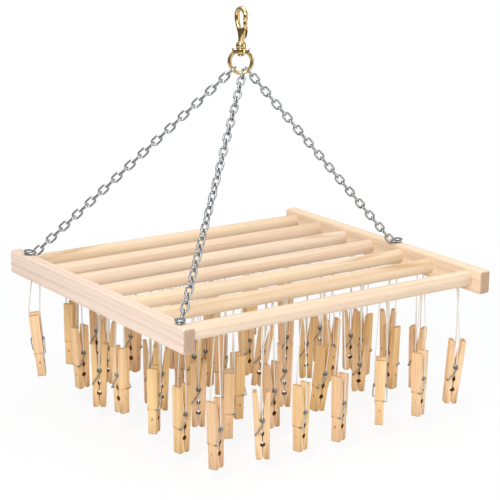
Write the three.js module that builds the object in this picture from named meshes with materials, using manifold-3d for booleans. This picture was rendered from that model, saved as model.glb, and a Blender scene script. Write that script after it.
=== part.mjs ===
// A hanging drying rack: seven wooden dowels between two rails, hung by three chains from a brass
// swivel snap, with rows of sprung wooden clothespins on string loops under the dowels.
// Millimetres, +Z up. The origin is the inside top of the snap's hook, the point that the rack hangs from.
import * as THREE from "three";
import { mergeVertices } from "three/addons/utils/BufferGeometryUtils.js";
import Module from "manifold-3d";

const wasm = await Module();
wasm.setup();

// Clearances between pieces that touch on the real rack
const TOUCH_GAP = 0.3;
const RUNNING_GAP = 0.3;

// Rails and dowels, measured from the middle of the rack at the height of the rails' top faces
const RAIL_LENGTH = 406;
const RAIL_HEIGHT = 30;
const RAIL_THICKNESS = 16;
const RAIL_EDGE_RADIUS = 3;
const RAIL_CORNER_RADIUS = 4.5;
const DOWEL_SPAN = 423;
const DOWEL_DIAMETER = 18;
const DOWEL_SEAT_DEPTH = 9;
const DOWEL_DEPTH = 14.4;
const DOWEL_SIDES = 14;
const REAR_MARGIN = 22;
const FRONT_MARGIN = 25;
const PIN_MARGIN = 9.5;

// Swivel snap: where it hangs over the rack, then the hook, its sliding bolt and the swivel ring
const HANG_HEIGHT = 312.5;
const HANG_X = -9;
const HANG_Y = 6;
const HOOK_TURN = -90;
const HOOK_INNER_RADIUS = 6.4;
const HOOK_THICKNESS = 5.6;
const HOOK_DEPTH = 6.6;
const HOOK_BEVEL = 1.6;
const HOOK_EYE_HEIGHT = 38.4;
const COLLAR_RADIUS = 6.2;
const COLLAR_HEIGHT = 7;
const STEM_RADIUS = 3.9;
const BARREL_RADIUS = 3.5;
const BARREL_TOP = 25.5;
const THROAT = 8;
const BOLT_RADIUS = 2.6;
const BOLT_LENGTH = 11;
const BOLT_TRAVEL = 6.6;
const STUD_RADIUS = 1.3;
const STUD_REACH = 1.6;
const BOLT_SPRING_WIRE = 0.7;
const BOLT_SPRING_TURNS = 4;
const POST_RADIUS = 2.6;
const RIVET_RADIUS = 4.1;
const RIVET_HEIGHT = 2.6;
const RING_TURN = -36;
const RING_OUTER = 32.4;
const RING_WIRE = 4.8;
const BOSS_RADIUS = 6;
const BOSS_HEIGHT = 6.2;
const EAR_REACH = 11;
const EAR_DEPTH = 5.4;

// Chains and the screws that hold their last links to the rails
const LINK_PITCH = 11.2;
const LINK_WIRE = 2.4;
const LINK_SIDE_GAP = 0.4;
const LINK_BITE = 0.25;
const END_LINK_TILT = 5;
const SCREW_HEAD_RADIUS = 6.2;
const SCREW_HEAD_HEIGHT = 2.9;
const SCREW_SHANK_RADIUS = 2.1;
const SCREW_LENGTH = 22;
const SCREW_DOWEL_GAP = 3.5;
const FRONT_SCREW_OFFSET = 5;

// Each chain's side of the rack, the dowel nearest to its screw, the screw's place in front of or behind
// that dowel, and where the chain hangs round the ring, in degrees from the ring's lowest point
const besideDowel = DOWEL_DIAMETER / 2 + SCREW_DOWEL_GAP;
const CHAINS = [
  { name: "left_rear", side: -1, dowel: 1, behind: -besideDowel, ringAngle: -44 },
  { name: "left_front", side: -1, dowel: 7, behind: -FRONT_SCREW_OFFSET, ringAngle: 12 },
  { name: "right", side: 1, dowel: 5, behind: besideDowel, ringAngle: 40 },
];

// Clothespins: heights are measured from the middle of the spring's coil
const PIN_WIDTH = 12.5;
const HANDLE_REACH = 34.5;
const JAW_REACH = 49;
const HANDLE_SPREAD = 20.5;
const HANDLE_THICKNESS = 5;
const JAW_THICKNESS = 8;
const JAW_NOTCH = 3.6;
const TIP_RADIUS = 2;
const GROOVE_BELOW_COIL = 17.5;
const DIAMOND_BELOW_COIL = 16;
const DIAMOND_HEIGHT = 8.6;
const DIAMOND_DEPTH = 1.9;
const LINE_HOLE_BELOW_COIL = 30;
const LINE_HOLE_RADIUS = 2.8;
const COIL_RADIUS = 2.2;
const SPRING_WIRE = 1.4;
const SPRING_TURNS = 3;
const SPRING_HOOK = 5;
const STRING_DIAMETER = 2;
const STRING_HOLE_SPACING = 12;
const STRING_HOLE_STAGGER = 2.4;
const STRING_TOP_GAP = 0.5;
const STRING_DROP = 105;

// The rows from the rear to the front: the share of the way from the rear dowel to the front one, and for
// each pin its place along the dowel, from -1 at the left end to 1 at the right, the turn of its coil about
// the upright, its lean about the coil and its tip sideways in degrees, and its string's length as a share
// of STRING_DROP.
const ROWS = [
  {
    share: 0,
    pins: [
      [-1, 148, 0, 6, 0.905],
      [-0.752, 125, 0, 0, 0.838],
      [-0.554, 40, 0, 0, 0.933],
      [-0.272, 70, 3, 0, 0.952],
      [0.05, 150, 0, 0, 0.924],
      [0.356, 30, -4, 0, 0.981],
      [0.673, 95, 0, 0, 0.943],
    ],
  },
  {
    share: 0.15,
    pins: [
      [-0.837, 94, -3, 0, 0.981],
      [-0.634, 50, 0, 0, 0.99],
      [-0.446, 25, 0, 0, 0.905],
      [-0.149, 120, 0, 0, 0.962],
      [0.158, 60, 4, 0, 0.933],
      [0.47, 165, 0, 0, 0.99],
      [0.782, 80, 0, 0, 0.924],
    ],
  },
  {
    share: 0.306,
    pins: [
      [-0.861, 56, 0, 0, 1.048],
      [-0.485, 62, 0, 0, 1.143],
      [-0.267, 140, 0, 0, 1.067],
      [-0.054, 35, 0, 0, 1.086],
      [0.257, 100, -3, 0, 1.048],
      [0.584, 62, 0, 0, 1.105],
      [0.871, 52, 0, 0, 1.086],
    ],
  },
  {
    share: 0.468,
    pins: [
      [-0.881, 10, -3, 0, 0.943],
      [-0.589, 60, 0, 0, 1.029],
      [-0.356, 70, 0, 0, 0.895],
      [-0.144, 130, 0, 0, 0.99],
      [0.183, 54, 8, 0, 1.01],
      [0.535, 56, 0, 0, 1.029],
      [0.901, 62, 0, 0, 1.048],
    ],
  },
  {
    share: 0.635,
    pins: [
      [-0.827, 130, 0, 0, 1.038],
      [-0.51, 56, 0, 0, 1.086],
      [-0.223, 170, 0, 0, 1.095],
      [0.139, 54, 0, 0, 1.086],
      [0.505, 75, 0, 0, 0.895],
      [0.772, 20, 0, 0, 0.905],
      [0.975, 60, 0, 0, 0.924],
    ],
  },
  {
    share: 0.799,
    pins: [
      [-0.822, 100, 0, 0, 1.095],
      [-0.495, 155, 0, 0, 1.048],
      [-0.178, 90, -3, 0, 1.057],
      [0.208, 90, 8, 0, 0.99],
      [0.505, 54, 0, -25, 0.952],
      [0.757, 15, 0, 0, 0.914],
      [0.98, 25, 0, 0, 1],
    ],
  },
  {
    share: 1,
    pins: [
      [-0.827, 111, -2, 0, 1.057],
      [-0.505, 58, -2, 0, 1.076],
      [-0.223, 107, 0, 0, 1.095],
      [0.064, 110, 0, 0, 1.095],
      [0.376, 140, 0, 0, 1.01],
      [0.688, 110, 0, 0, 1.029],
      [0.975, 64, 5, 0, 0.981],
    ],
  },
];

const X_AXIS = new THREE.Vector3(1, 0, 0);
const Y_AXIS = new THREE.Vector3(0, 1, 0);
const Z_AXIS = new THREE.Vector3(0, 0, 1);
const radians = THREE.MathUtils.degToRad;
const vector = (x, y, z) => new THREE.Vector3(x, y, z);

// Values that follow from the sizes above
const railMiddle = (DOWEL_SPAN + RAIL_THICKNESS) / 2;
const dowelRadius = DOWEL_DIAMETER / 2;
const dowelUnderside = -DOWEL_DEPTH - dowelRadius * Math.cos(Math.PI / DOWEL_SIDES);
const rearRow = RAIL_LENGTH / 2 - REAR_MARGIN;
const frontRow = FRONT_MARGIN - RAIL_LENGTH / 2;
const rowAlong = (row) => rearRow + (frontRow - rearRow) * row.share;
const screwAlong = (chain) => rowAlong(ROWS[chain.dowel - 1]) + chain.behind;
const linkInnerWidth = Math.max(RING_WIRE, 2 * SCREW_SHANK_RADIUS) + 2 * LINK_SIDE_GAP;
const ringRadius = (RING_OUTER - RING_WIRE) / 2;
const hookTop = HOOK_EYE_HEIGHT + HOOK_INNER_RADIUS;
const bossTop = -TOUCH_GAP;
const ringMiddle = bossTop - BOSS_HEIGHT / 2 - ringRadius;
const barrelMiddle = HOOK_INNER_RADIUS + HOOK_THICKNESS / 2 - 0.8;

const WOOD = { rails: 0xefd9c3, dowels: 0xf0dcc0, pins: 0xdcb27e };
const finishes = {
  rails: new THREE.MeshStandardMaterial({ color: WOOD.rails, roughness: 0.62, metalness: 0 }),
  dowels: new THREE.MeshStandardMaterial({ color: WOOD.dowels, roughness: 0.6, metalness: 0 }),
  pins: new THREE.MeshStandardMaterial({ color: WOOD.pins, roughness: 0.66, metalness: 0 }),
  brass: new THREE.MeshStandardMaterial({ color: 0xc79a45, roughness: 0.22, metalness: 1 }),
  zinc: new THREE.MeshStandardMaterial({ color: 0xa9b0b5, roughness: 0.3, metalness: 1 }),
  steel: new THREE.MeshStandardMaterial({ color: 0x8d949a, roughness: 0.32, metalness: 1 }),
  cotton: new THREE.MeshStandardMaterial({ color: 0xeee8dc, roughness: 0.92, metalness: 0 }),
};

// Closed solids from surfaces, and back again

function solid(geometry) {
  const bare = geometry.clone();
  bare.deleteAttribute("normal");
  bare.deleteAttribute("uv");
  const merged = mergeVertices(bare, 1e-4);
  const corners = Array.from(merged.index.array);
  const kept = [];
  for (let i = 0; i < corners.length; i += 3) {
    const [a, b, c] = corners.slice(i, i + 3);
    if (a !== b && b !== c && c !== a) kept.push(a, b, c);
  }
  const position = merged.getAttribute("position");
  if (signedVolume(position, kept) < 0) kept.reverse();
  const mesh = new wasm.Mesh({
    numProp: 3,
    vertProperties: new Float32Array(position.array),
    triVerts: new Uint32Array(kept),
  });
  return new wasm.Manifold(mesh);
}

function signedVolume(position, corners) {
  const point = (i) => vector(position.getX(i), position.getY(i), position.getZ(i));
  let total = 0;
  for (let i = 0; i < corners.length; i += 3) {
    const [a, b, c] = corners.slice(i, i + 3).map(point);
    total += a.dot(b.cross(c));
  }
  return total;
}

function geometryOf(body) {
  const mesh = body.getMesh();
  const geometry = new THREE.BufferGeometry();
  geometry.setAttribute("position", new THREE.BufferAttribute(mesh.vertProperties.slice(), 3));
  geometry.setIndex(new THREE.BufferAttribute(mesh.triVerts.slice(), 1));
  geometry.computeVertexNormals();
  return geometry;
}

function joined(bodies) {
  return bodies.reduce((whole, body) => whole.add(body));
}

function placed(geometry, matrix) {
  return geometry.clone().applyMatrix4(matrix);
}

function turnedInto(frame, body) {
  return solid(placed(geometryOf(body), frame));
}

// A cylinder along Z between two heights
function upright(radius, bottom, top, sides, x = 0, y = 0) {
  const cylinder = new THREE.CylinderGeometry(radius, radius, top - bottom, sides);
  return cylinder.rotateX(Math.PI / 2).translate(x, y, (bottom + top) / 2);
}

// A profile of [radius, height] points turned about Z
function turned(profile, sides) {
  const points = profile.map(([radius, height]) => new THREE.Vector2(radius, height));
  return new THREE.LatheGeometry(points, sides).rotateX(Math.PI / 2);
}

// A wire through a list of points: a ring of corners at each point, mitred where the path turns and
// carried from one stretch to the next without twist. A closed wire joins its last ring to its first.
function wire(points, radius, sides, closed = false) {
  const count = points.length;
  const stretches = closed ? count : count - 1;
  const heading = (i) => points[(i + 1) % count].clone().sub(points[i]).normalize();
  let along = heading(closed ? count - 1 : 0);
  const across = Math.abs(along.z) > 0.9 ? X_AXIS.clone() : Z_AXIS.clone();
  across.cross(along).normalize();
  const positions = [];
  const corners = [];
  for (let i = 0; i < count; i += 1) {
    const next = i < stretches ? heading(i) : along;
    const mitre = along.clone().add(next).normalize();
    const upward = along.clone().cross(across);
    for (let k = 0; k < sides; k += 1) {
      const angle = (2 * Math.PI * k) / sides;
      const offset = across.clone().multiplyScalar(radius * Math.cos(angle));
      offset.addScaledVector(upward, radius * Math.sin(angle));
      const shift = offset.dot(mitre) / along.dot(mitre);
      const corner = points[i].clone().add(offset).addScaledVector(along, -shift);
      positions.push(corner.x, corner.y, corner.z);
    }
    across.applyQuaternion(new THREE.Quaternion().setFromUnitVectors(along, next));
    along = next;
  }
  for (let i = 0; i < stretches; i += 1) {
    const here = i * sides;
    const there = ((i + 1) % count) * sides;
    for (let k = 0; k < sides; k += 1) {
      const m = (k + 1) % sides;
      corners.push(here + k, here + m, there + m, here + k, there + m, there + k);
    }
  }
  if (!closed) {
    const last = (count - 1) * sides;
    for (let k = 2; k < sides; k += 1) {
      corners.push(0, k, k - 1, last, last + k - 1, last + k);
    }
  }
  const geometry = new THREE.BufferGeometry();
  geometry.setAttribute("position", new THREE.Float32BufferAttribute(positions, 3));
  geometry.setIndex(corners);
  return geometry;
}

// The least clear distance between stretches of one wire that lie at least `apart` along it
function leastGap(points, diameter, apart) {
  let least = Infinity;
  const run = [0];
  for (let i = 1; i < points.length; i += 1) {
    run.push(run[i - 1] + points[i].distanceTo(points[i - 1]));
  }
  for (let i = 0; i < points.length; i += 1) {
    for (let j = i + 1; j < points.length; j += 1) {
      if (run[j] - run[i] < apart) continue;
      least = Math.min(least, points[i].distanceTo(points[j]) - diameter);
    }
  }
  return least;
}

// The rack: two rails with blind holes for the dowels, and a pilot hole under each chain screw

function rail(side) {
  const half = RAIL_LENGTH / 2;
  const r = RAIL_CORNER_RADIUS;
  const outline = new THREE.Shape();
  outline.moveTo(-half + r, -RAIL_HEIGHT);
  outline.lineTo(half - r, -RAIL_HEIGHT);
  outline.absarc(half - r, -RAIL_HEIGHT + r, r, -Math.PI / 2, 0);
  outline.absarc(half - r, -r, r, 0, Math.PI / 2);
  outline.absarc(-half + r, -r, r, Math.PI / 2, Math.PI);
  outline.absarc(-half + r, -RAIL_HEIGHT + r, r, Math.PI, 1.5 * Math.PI);
  const board = new THREE.ExtrudeGeometry(outline, {
    depth: RAIL_THICKNESS - 2 * RAIL_EDGE_RADIUS,
    bevelThickness: RAIL_EDGE_RADIUS,
    bevelSize: RAIL_EDGE_RADIUS,
    bevelOffset: -RAIL_EDGE_RADIUS,
    bevelSegments: 2,
    curveSegments: 2,
  });
  board.translate(0, 0, RAIL_EDGE_RADIUS - RAIL_THICKNESS / 2);
  board.applyMatrix4(new THREE.Matrix4().makeBasis(Y_AXIS, Z_AXIS, X_AXIS));
  board.translate(side * railMiddle, 0, 0);
  let body = solid(board);
  for (const row of ROWS) {
    body = body.subtract(solid(dowelSeat(side, rowAlong(row))));
  }
  return drilled(body);
}

// Pilot holes for the chain screws, through the rails and any dowel end that lies under a screw
function drilled(body) {
  const floor = screwSeatHeight() - SCREW_LENGTH - TOUCH_GAP;
  const radius = SCREW_SHANK_RADIUS + TOUCH_GAP;
  return CHAINS.reduce((rest, chain) => {
    const pilot = upright(radius, floor, TOUCH_GAP, 8, chain.side * railMiddle, screwAlong(chain));
    return rest.subtract(solid(pilot));
  }, body);
}

function dowelSeat(side, along) {
  const length = 2 * (DOWEL_SEAT_DEPTH + TOUCH_GAP);
  return crosswise(dowelRadius + TOUCH_GAP, length, (side * DOWEL_SPAN) / 2, along);
}

function dowel(along) {
  return drilled(solid(crosswise(dowelRadius, DOWEL_SPAN + 2 * DOWEL_SEAT_DEPTH, 0, along)));
}

// A many-sided rod along X at the dowels' height, turned to have one of its flats underneath
function crosswise(radius, length, x, along) {
  const rod = new THREE.CylinderGeometry(radius, radius, length, DOWEL_SIDES);
  rod.rotateY(Math.PI / DOWEL_SIDES).rotateZ(Math.PI / 2);
  return rod.translate(x, along, -DOWEL_DEPTH);
}

// The snap, built round its own upright axis with the collar's underside at height 0.
// The hook lies in the XZ plane with its bolt on the +X side.

function hook() {
  const outer = HOOK_INNER_RADIUS + HOOK_THICKNESS;
  const noseHeight = BARREL_TOP + THROAT;
  const fall = HOOK_EYE_HEIGHT - noseHeight;
  const outerNose = -Math.asin(fall / outer);
  const barrelOuter = barrelMiddle + BARREL_RADIUS;
  const barrelInner = barrelMiddle - BARREL_RADIUS;
  const crotch = BARREL_TOP - BARREL_RADIUS;
  const foot = barrelBottom() - BARREL_RADIUS;
  const outline = new THREE.Shape();
  outline.moveTo(-STEM_RADIUS, COLLAR_HEIGHT / 2);
  outline.lineTo(STEM_RADIUS, COLLAR_HEIGHT / 2);
  outline.bezierCurveTo(STEM_RADIUS, foot, barrelOuter, foot, barrelOuter, crotch);
  outline.lineTo(barrelOuter, BARREL_TOP - HOOK_BEVEL);
  outline.lineTo(barrelInner, BARREL_TOP - HOOK_BEVEL);
  outline.bezierCurveTo(0, crotch, -HOOK_INNER_RADIUS, BARREL_TOP, -HOOK_INNER_RADIUS, HOOK_EYE_HEIGHT);
  outline.absarc(0, HOOK_EYE_HEIGHT, HOOK_INNER_RADIUS, Math.PI, 0, true);
  outline.lineTo(HOOK_INNER_RADIUS, noseHeight);
  outline.lineTo(outer * Math.cos(outerNose), noseHeight);
  outline.absarc(0, HOOK_EYE_HEIGHT, outer, outerNose, Math.PI, false);
  outline.bezierCurveTo(-outer, crotch, -STEM_RADIUS, crotch, -STEM_RADIUS, COLLAR_HEIGHT / 2);
  const casting = new THREE.ExtrudeGeometry(outline, {
    depth: HOOK_DEPTH - 2 * HOOK_BEVEL,
    bevelThickness: HOOK_BEVEL,
    bevelSize: HOOK_BEVEL,
    bevelOffset: -HOOK_BEVEL,
    bevelSegments: 2,
    curveSegments: 5,
  });
  casting.translate(0, 0, HOOK_BEVEL - HOOK_DEPTH / 2).rotateX(Math.PI / 2);
  const barrelProfile = [
    [0, foot],
    [BARREL_RADIUS, barrelBottom()],
    [BARREL_RADIUS, BARREL_TOP],
    [0, BARREL_TOP],
  ];
  const barrel = turned(barrelProfile, 12).translate(barrelMiddle, 0, 0);
  const bore = upright(BOLT_RADIUS + RUNNING_GAP, boreFloor(), BARREL_TOP + 1, 10, barrelMiddle);
  const slotWidth = 2 * (STUD_RADIUS + RUNNING_GAP);
  const slotBottom = studHeight() - BOLT_TRAVEL - slotWidth / 2;
  const slotHeight = BARREL_TOP + 1 - slotBottom;
  const slot = new THREE.BoxGeometry(2 * BARREL_RADIUS, slotWidth, slotHeight);
  slot.translate(barrelMiddle + BARREL_RADIUS, 0, slotBottom + slotHeight / 2);
  return joined([solid(casting), solid(barrel), solid(swivelPost())])
    .subtract(solid(bore))
    .subtract(solid(slot));
}

// The bell collar, and under it the post that the ring turns on, with its riveted end
function swivelPost() {
  const rivetTop = bossTop - BOSS_HEIGHT - TOUCH_GAP;
  const rivetBottom = rivetTop - RIVET_HEIGHT;
  const profile = [
    [0, rivetBottom],
    [RIVET_RADIUS * 0.75, rivetBottom],
    [RIVET_RADIUS, rivetBottom + RIVET_HEIGHT / 2],
    [RIVET_RADIUS, rivetTop],
    [POST_RADIUS, rivetTop],
    [POST_RADIUS, 0],
    [COLLAR_RADIUS, 0],
    [COLLAR_RADIUS, COLLAR_HEIGHT * 0.2],
    [(COLLAR_RADIUS + STEM_RADIUS) / 2, COLLAR_HEIGHT * 0.6],
    [STEM_RADIUS, COLLAR_HEIGHT],
    [0, COLLAR_HEIGHT],
  ];
  return turned(profile, 16);
}

function boltTop() {
  return BARREL_TOP + THROAT - TOUCH_GAP;
}

function boltBottom() {
  return boltTop() - BOLT_LENGTH;
}

function studHeight() {
  return boltBottom() + STUD_RADIUS;
}

function boreFloor() {
  return boltBottom() - BOLT_TRAVEL - BOLT_SPRING_TURNS * BOLT_SPRING_WIRE - 2 * TOUCH_GAP;
}

function barrelBottom() {
  const wall = BARREL_RADIUS - BOLT_RADIUS - RUNNING_GAP;
  return boreFloor() - wall;
}

function bolt() {
  const rod = upright(BOLT_RADIUS, boltBottom(), boltTop(), 10, barrelMiddle);
  const studLength = BARREL_RADIUS + STUD_REACH;
  const stud = new THREE.CylinderGeometry(STUD_RADIUS, STUD_RADIUS, studLength, 8);
  stud.rotateZ(Math.PI / 2).translate(barrelMiddle + studLength / 2, 0, studHeight());
  return solid(rod).add(solid(stud));
}

function boltSpringPath() {
  const radius = BOLT_RADIUS - BOLT_SPRING_WIRE / 2;
  const bottom = boreFloor() + TOUCH_GAP + BOLT_SPRING_WIRE / 2;
  const top = boltBottom() - TOUCH_GAP - BOLT_SPRING_WIRE / 2;
  const steps = 8 * BOLT_SPRING_TURNS;
  const points = [];
  for (let i = 0; i <= steps; i += 1) {
    const angle = (2 * Math.PI * i) / 8;
    const height = bottom + ((top - bottom) * i) / steps;
    points.push(vector(barrelMiddle + radius * Math.cos(angle), radius * Math.sin(angle), height));
  }
  return points;
}

// The ring lies in the XZ plane. Its boss carries two horn-like ears and the hole for the post.
function ring() {
  const round = new THREE.TorusGeometry(ringRadius, RING_WIRE / 2, 8, 24);
  round.rotateX(Math.PI / 2).translate(0, 0, ringMiddle);
  const bossBottom = bossTop - BOSS_HEIGHT;
  const boss = upright(BOSS_RADIUS, bossBottom, bossTop, 14);
  const ears = new THREE.Shape();
  ears.moveTo(-EAR_REACH, bossTop - BOSS_HEIGHT * 0.1);
  ears.quadraticCurveTo(0, bossTop - BOSS_HEIGHT * 0.5, EAR_REACH, bossTop - BOSS_HEIGHT * 0.1);
  ears.lineTo(EAR_REACH * 0.8, bossTop - BOSS_HEIGHT * 0.8);
  ears.lineTo(-EAR_REACH * 0.8, bossTop - BOSS_HEIGHT * 0.8);
  const wings = new THREE.ExtrudeGeometry(ears, {
    depth: EAR_DEPTH,
    bevelEnabled: false,
    curveSegments: 4,
  });
  wings.translate(0, 0, -EAR_DEPTH / 2).rotateX(Math.PI / 2);
  const hole = upright(POST_RADIUS + RUNNING_GAP, bossBottom - RING_WIRE, bossTop + 1, 12);
  return joined([solid(round), solid(boss), solid(wings)]).subtract(solid(hole));
}

function snapFrame(turn) {
  const lift = HANG_HEIGHT - hookTop;
  return new THREE.Matrix4()
    .makeTranslation(HANG_X, HANG_Y, lift)
    .multiply(new THREE.Matrix4().makeRotationZ(radians(turn)));
}

// Chains: straight oval links, each turned a quarter against the last, hooked through the ring at one
// end and through an end link under a screw at the other

// A link's path is a long hexagon, with a corner of 120 degrees at each end, so what sits in that corner
// lies further from it than its radius by this factor
const CORNER = 1 / Math.cos(Math.PI / 6);
const linkEnd = (LINK_WIRE / 2) * CORNER;

function linkPath(innerLength) {
  const halfWidth = (linkInnerWidth + LINK_WIRE) / 2;
  const tip = innerLength / 2 + linkEnd;
  const shoulder = tip - halfWidth * Math.tan(Math.PI / 6);
  return [
    vector(shoulder, -halfWidth, 0),
    vector(tip, 0, 0),
    vector(shoulder, halfWidth, 0),
    vector(-shoulder, halfWidth, 0),
    vector(-tip, 0, 0),
    vector(-shoulder, -halfWidth, 0),
  ];
}

// A frame at `middle` with X along `along` and Z as near to `normal` as it can be
function frameAt(middle, along, normal) {
  const side = normal.clone().cross(along).normalize();
  const face = along.clone().cross(side);
  return new THREE.Matrix4().makeBasis(along, side, face).setPosition(middle);
}

function link(innerLength) {
  return wire(linkPath(innerLength), LINK_WIRE / 2, 4, true);
}

function endLinkRise() {
  return Math.tan(radians(END_LINK_TILT));
}

// How far a screw's middle lies from the outer inside corner of its end link
function shankInset() {
  return (SCREW_SHANK_RADIUS + TOUCH_GAP) * CORNER;
}

// The height of an end link's wire over the rail where the screw passes through it
function endLinkHeight() {
  const outerEnd = shankInset() + 2 * linkEnd;
  return TOUCH_GAP + LINK_WIRE / 2 + outerEnd * endLinkRise();
}

function screwSeatHeight() {
  return endLinkHeight() + SCREW_HEAD_RADIUS * endLinkRise() + LINK_WIRE / 2 + TOUCH_GAP;
}

function chainOf(chain) {
  const screw = vector(chain.side * railMiddle, screwAlong(chain), 0);
  const inward = vector(HANG_X, HANG_Y, 0).sub(screw).normalize();
  const endHeading = inward.clone().setZ(endLinkRise()).normalize();
  const endInner = LINK_PITCH - LINK_BITE;
  const endMiddle = screw.clone().setZ(endLinkHeight());
  endMiddle.addScaledVector(endHeading, endInner / 2 - shankInset());
  const endNormal = endHeading.clone().cross(Z_AXIS).cross(endHeading);
  const from = endMiddle.clone().addScaledVector(endHeading, endInner / 2 + linkEnd);

  const angle = radians(chain.ringAngle);
  const frame = snapFrame(RING_TURN);
  const onRing = vector(ringRadius * Math.sin(angle), 0, ringMiddle - ringRadius * Math.cos(angle));
  const tangent = vector(Math.cos(angle), 0, Math.sin(angle)).transformDirection(frame);
  const to = onRing.applyMatrix4(frame);

  // The end link lies aslant to the chain, so the next link reaches further into its four-sided wire
  const foot = linkEnd * Math.SQRT1_2 - LINK_BITE;
  const ringInset = (RING_WIRE / 2 + TOUCH_GAP) * CORNER;
  const span = to.distanceTo(from) + foot + ringInset + LINK_BITE;
  const climb = to.clone().sub(from).normalize();
  const level = climb.clone().cross(Z_AXIS).normalize();
  const offLevel = Math.atan2(level.clone().cross(tangent).dot(climb), level.dot(tangent));
  const count = linkCount(span / LINK_PITCH, offLevel);
  const pitch = span / count;
  const inner = pitch - LINK_BITE;

  // The links in a row along X, the one at the ring with its face up, each a quarter turn from the next
  const row = [];
  for (let i = 0; i < count; i += 1) {
    const piece = link(inner).rotateX((i % 2) * (Math.PI / 2));
    row.push(solid(piece.translate(inner / 2 - ringInset + i * pitch, 0, 0)));
  }
  const rowFrame = frameAt(to, climb.clone().negate(), tangent);
  const endLink = placed(link(endInner), frameAt(endMiddle, endHeading, endNormal));
  return turnedInto(rowFrame, joined(row)).add(solid(endLink));
}

// The whole number of links nearest to `wanted`, or one to the side of it, that leaves the last link
// nearest to upright in the level end link. Each link is a quarter turn from the one before.
function linkCount(wanted, turnAtRing) {
  const nearest = Math.round(wanted);
  const other = wanted > nearest ? nearest + 1 : nearest - 1;
  const astray = (count) => Math.abs(Math.sin(turnAtRing + ((count - 1) * Math.PI) / 2));
  return astray(nearest) <= astray(other) ? nearest : other;
}

function screw(chain) {
  const seat = screwSeatHeight();
  const profile = [
    [0, seat - SCREW_LENGTH],
    [SCREW_SHANK_RADIUS, seat - SCREW_LENGTH + 2 * SCREW_SHANK_RADIUS],
    [SCREW_SHANK_RADIUS, seat],
    [SCREW_HEAD_RADIUS, seat],
    [SCREW_HEAD_RADIUS * 0.92, seat + SCREW_HEAD_HEIGHT * 0.5],
    [SCREW_HEAD_RADIUS * 0.6, seat + SCREW_HEAD_HEIGHT * 0.88],
    [0, seat + SCREW_HEAD_HEIGHT],
  ];
  return solid(turned(profile, 12).translate(chain.side * railMiddle, screwAlong(chain), 0));
}

// Clothespins, built round the middle of the coil: X along the coil, Y across the two legs, Z up

function springReach() {
  return PIN_WIDTH / 2 + TOUCH_GAP + SPRING_WIRE / 2;
}

function outerFace(height) {
  const share = (height + JAW_REACH) / (HANDLE_REACH + JAW_REACH);
  return JAW_THICKNESS + (HANDLE_SPREAD / 2 - JAW_THICKNESS) * share;
}

function grooveMiddle() {
  return outerFace(-GROOVE_BELOW_COIL) - SPRING_WIRE / 4;
}

// The corners of a leg's outer side, from the jaw's end past the groove for the spring to the handle's end
function outerCorners() {
  const half = SPRING_WIRE / 2 + TOUCH_GAP;
  const floor = grooveMiddle() - half;
  const lower = -GROOVE_BELOW_COIL - half;
  const upper = -GROOVE_BELOW_COIL + half;
  return [
    [JAW_NOTCH, -JAW_REACH],
    [JAW_THICKNESS - TIP_RADIUS, -JAW_REACH],
    [outerFace(TIP_RADIUS - JAW_REACH), TIP_RADIUS - JAW_REACH],
    [outerFace(lower), lower],
    [floor, lower],
    [floor, upper],
    [outerFace(upper), upper],
    [HANDLE_SPREAD / 2, HANDLE_REACH],
    [HANDLE_SPREAD / 2 - HANDLE_THICKNESS, HANDLE_REACH],
  ];
}

// The side outline of the leg on +Y: its outer side, the seat of the coil, the diamond-shaped hollow
// below it, and the round hollow that grips a line
function legOutline() {
  const inner = TOUCH_GAP / 2;
  const seat = COIL_RADIUS + SPRING_WIRE / 2 + RUNNING_GAP;
  const outline = new THREE.Shape();
  outline.moveTo(inner, JAW_NOTCH - JAW_REACH);
  for (const [y, z] of outerCorners()) outline.lineTo(y, z);
  outline.absarc(0, 0, seat, Math.acos(1 / 3), -Math.acos(inner / seat), true);
  outline.lineTo(inner, DIAMOND_HEIGHT / 2 - DIAMOND_BELOW_COIL);
  outline.lineTo(inner + DIAMOND_DEPTH, -DIAMOND_BELOW_COIL);
  outline.lineTo(inner, -DIAMOND_HEIGHT / 2 - DIAMOND_BELOW_COIL);
  const lip = Math.acos(inner / LINE_HOLE_RADIUS);
  outline.absarc(0, -LINE_HOLE_BELOW_COIL, LINE_HOLE_RADIUS, lip, -lip, true);
  return outline;
}

// The plainer side outline of a pin whose two legs are one piece, with its line hole
function plainOutline() {
  const right = [
    [JAW_NOTCH, -JAW_REACH],
    [JAW_THICKNESS, -JAW_REACH],
    [HANDLE_SPREAD / 2, HANDLE_REACH],
    [HANDLE_SPREAD / 2 - HANDLE_THICKNESS, HANDLE_REACH],
  ];
  const left = right.map(([y, z]) => [-y, z]).reverse();
  const crotch = COIL_RADIUS + SPRING_WIRE / 2 + TOUCH_GAP;
  const corners = [[0, JAW_NOTCH - JAW_REACH], ...right, [0, crotch], ...left];
  const outline = new THREE.Shape(corners.map(([y, z]) => new THREE.Vector2(y, z)));
  const hole = new THREE.Path();
  hole.moveTo(LINE_HOLE_RADIUS, -LINE_HOLE_BELOW_COIL);
  hole.lineTo(0, -LINE_HOLE_BELOW_COIL - LINE_HOLE_RADIUS);
  hole.lineTo(-LINE_HOLE_RADIUS, -LINE_HOLE_BELOW_COIL);
  hole.lineTo(0, -LINE_HOLE_BELOW_COIL + LINE_HOLE_RADIUS);
  outline.holes.push(hole);
  return outline;
}

// A board of the pin's width with the given side outline
function pinBoard(outline) {
  const board = new THREE.ExtrudeGeometry(outline, {
    depth: PIN_WIDTH,
    bevelEnabled: false,
    curveSegments: 3,
  });
  board.translate(0, 0, -PIN_WIDTH / 2);
  return board.applyMatrix4(new THREE.Matrix4().makeBasis(Y_AXIS, Z_AXIS, X_AXIS));
}

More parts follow.
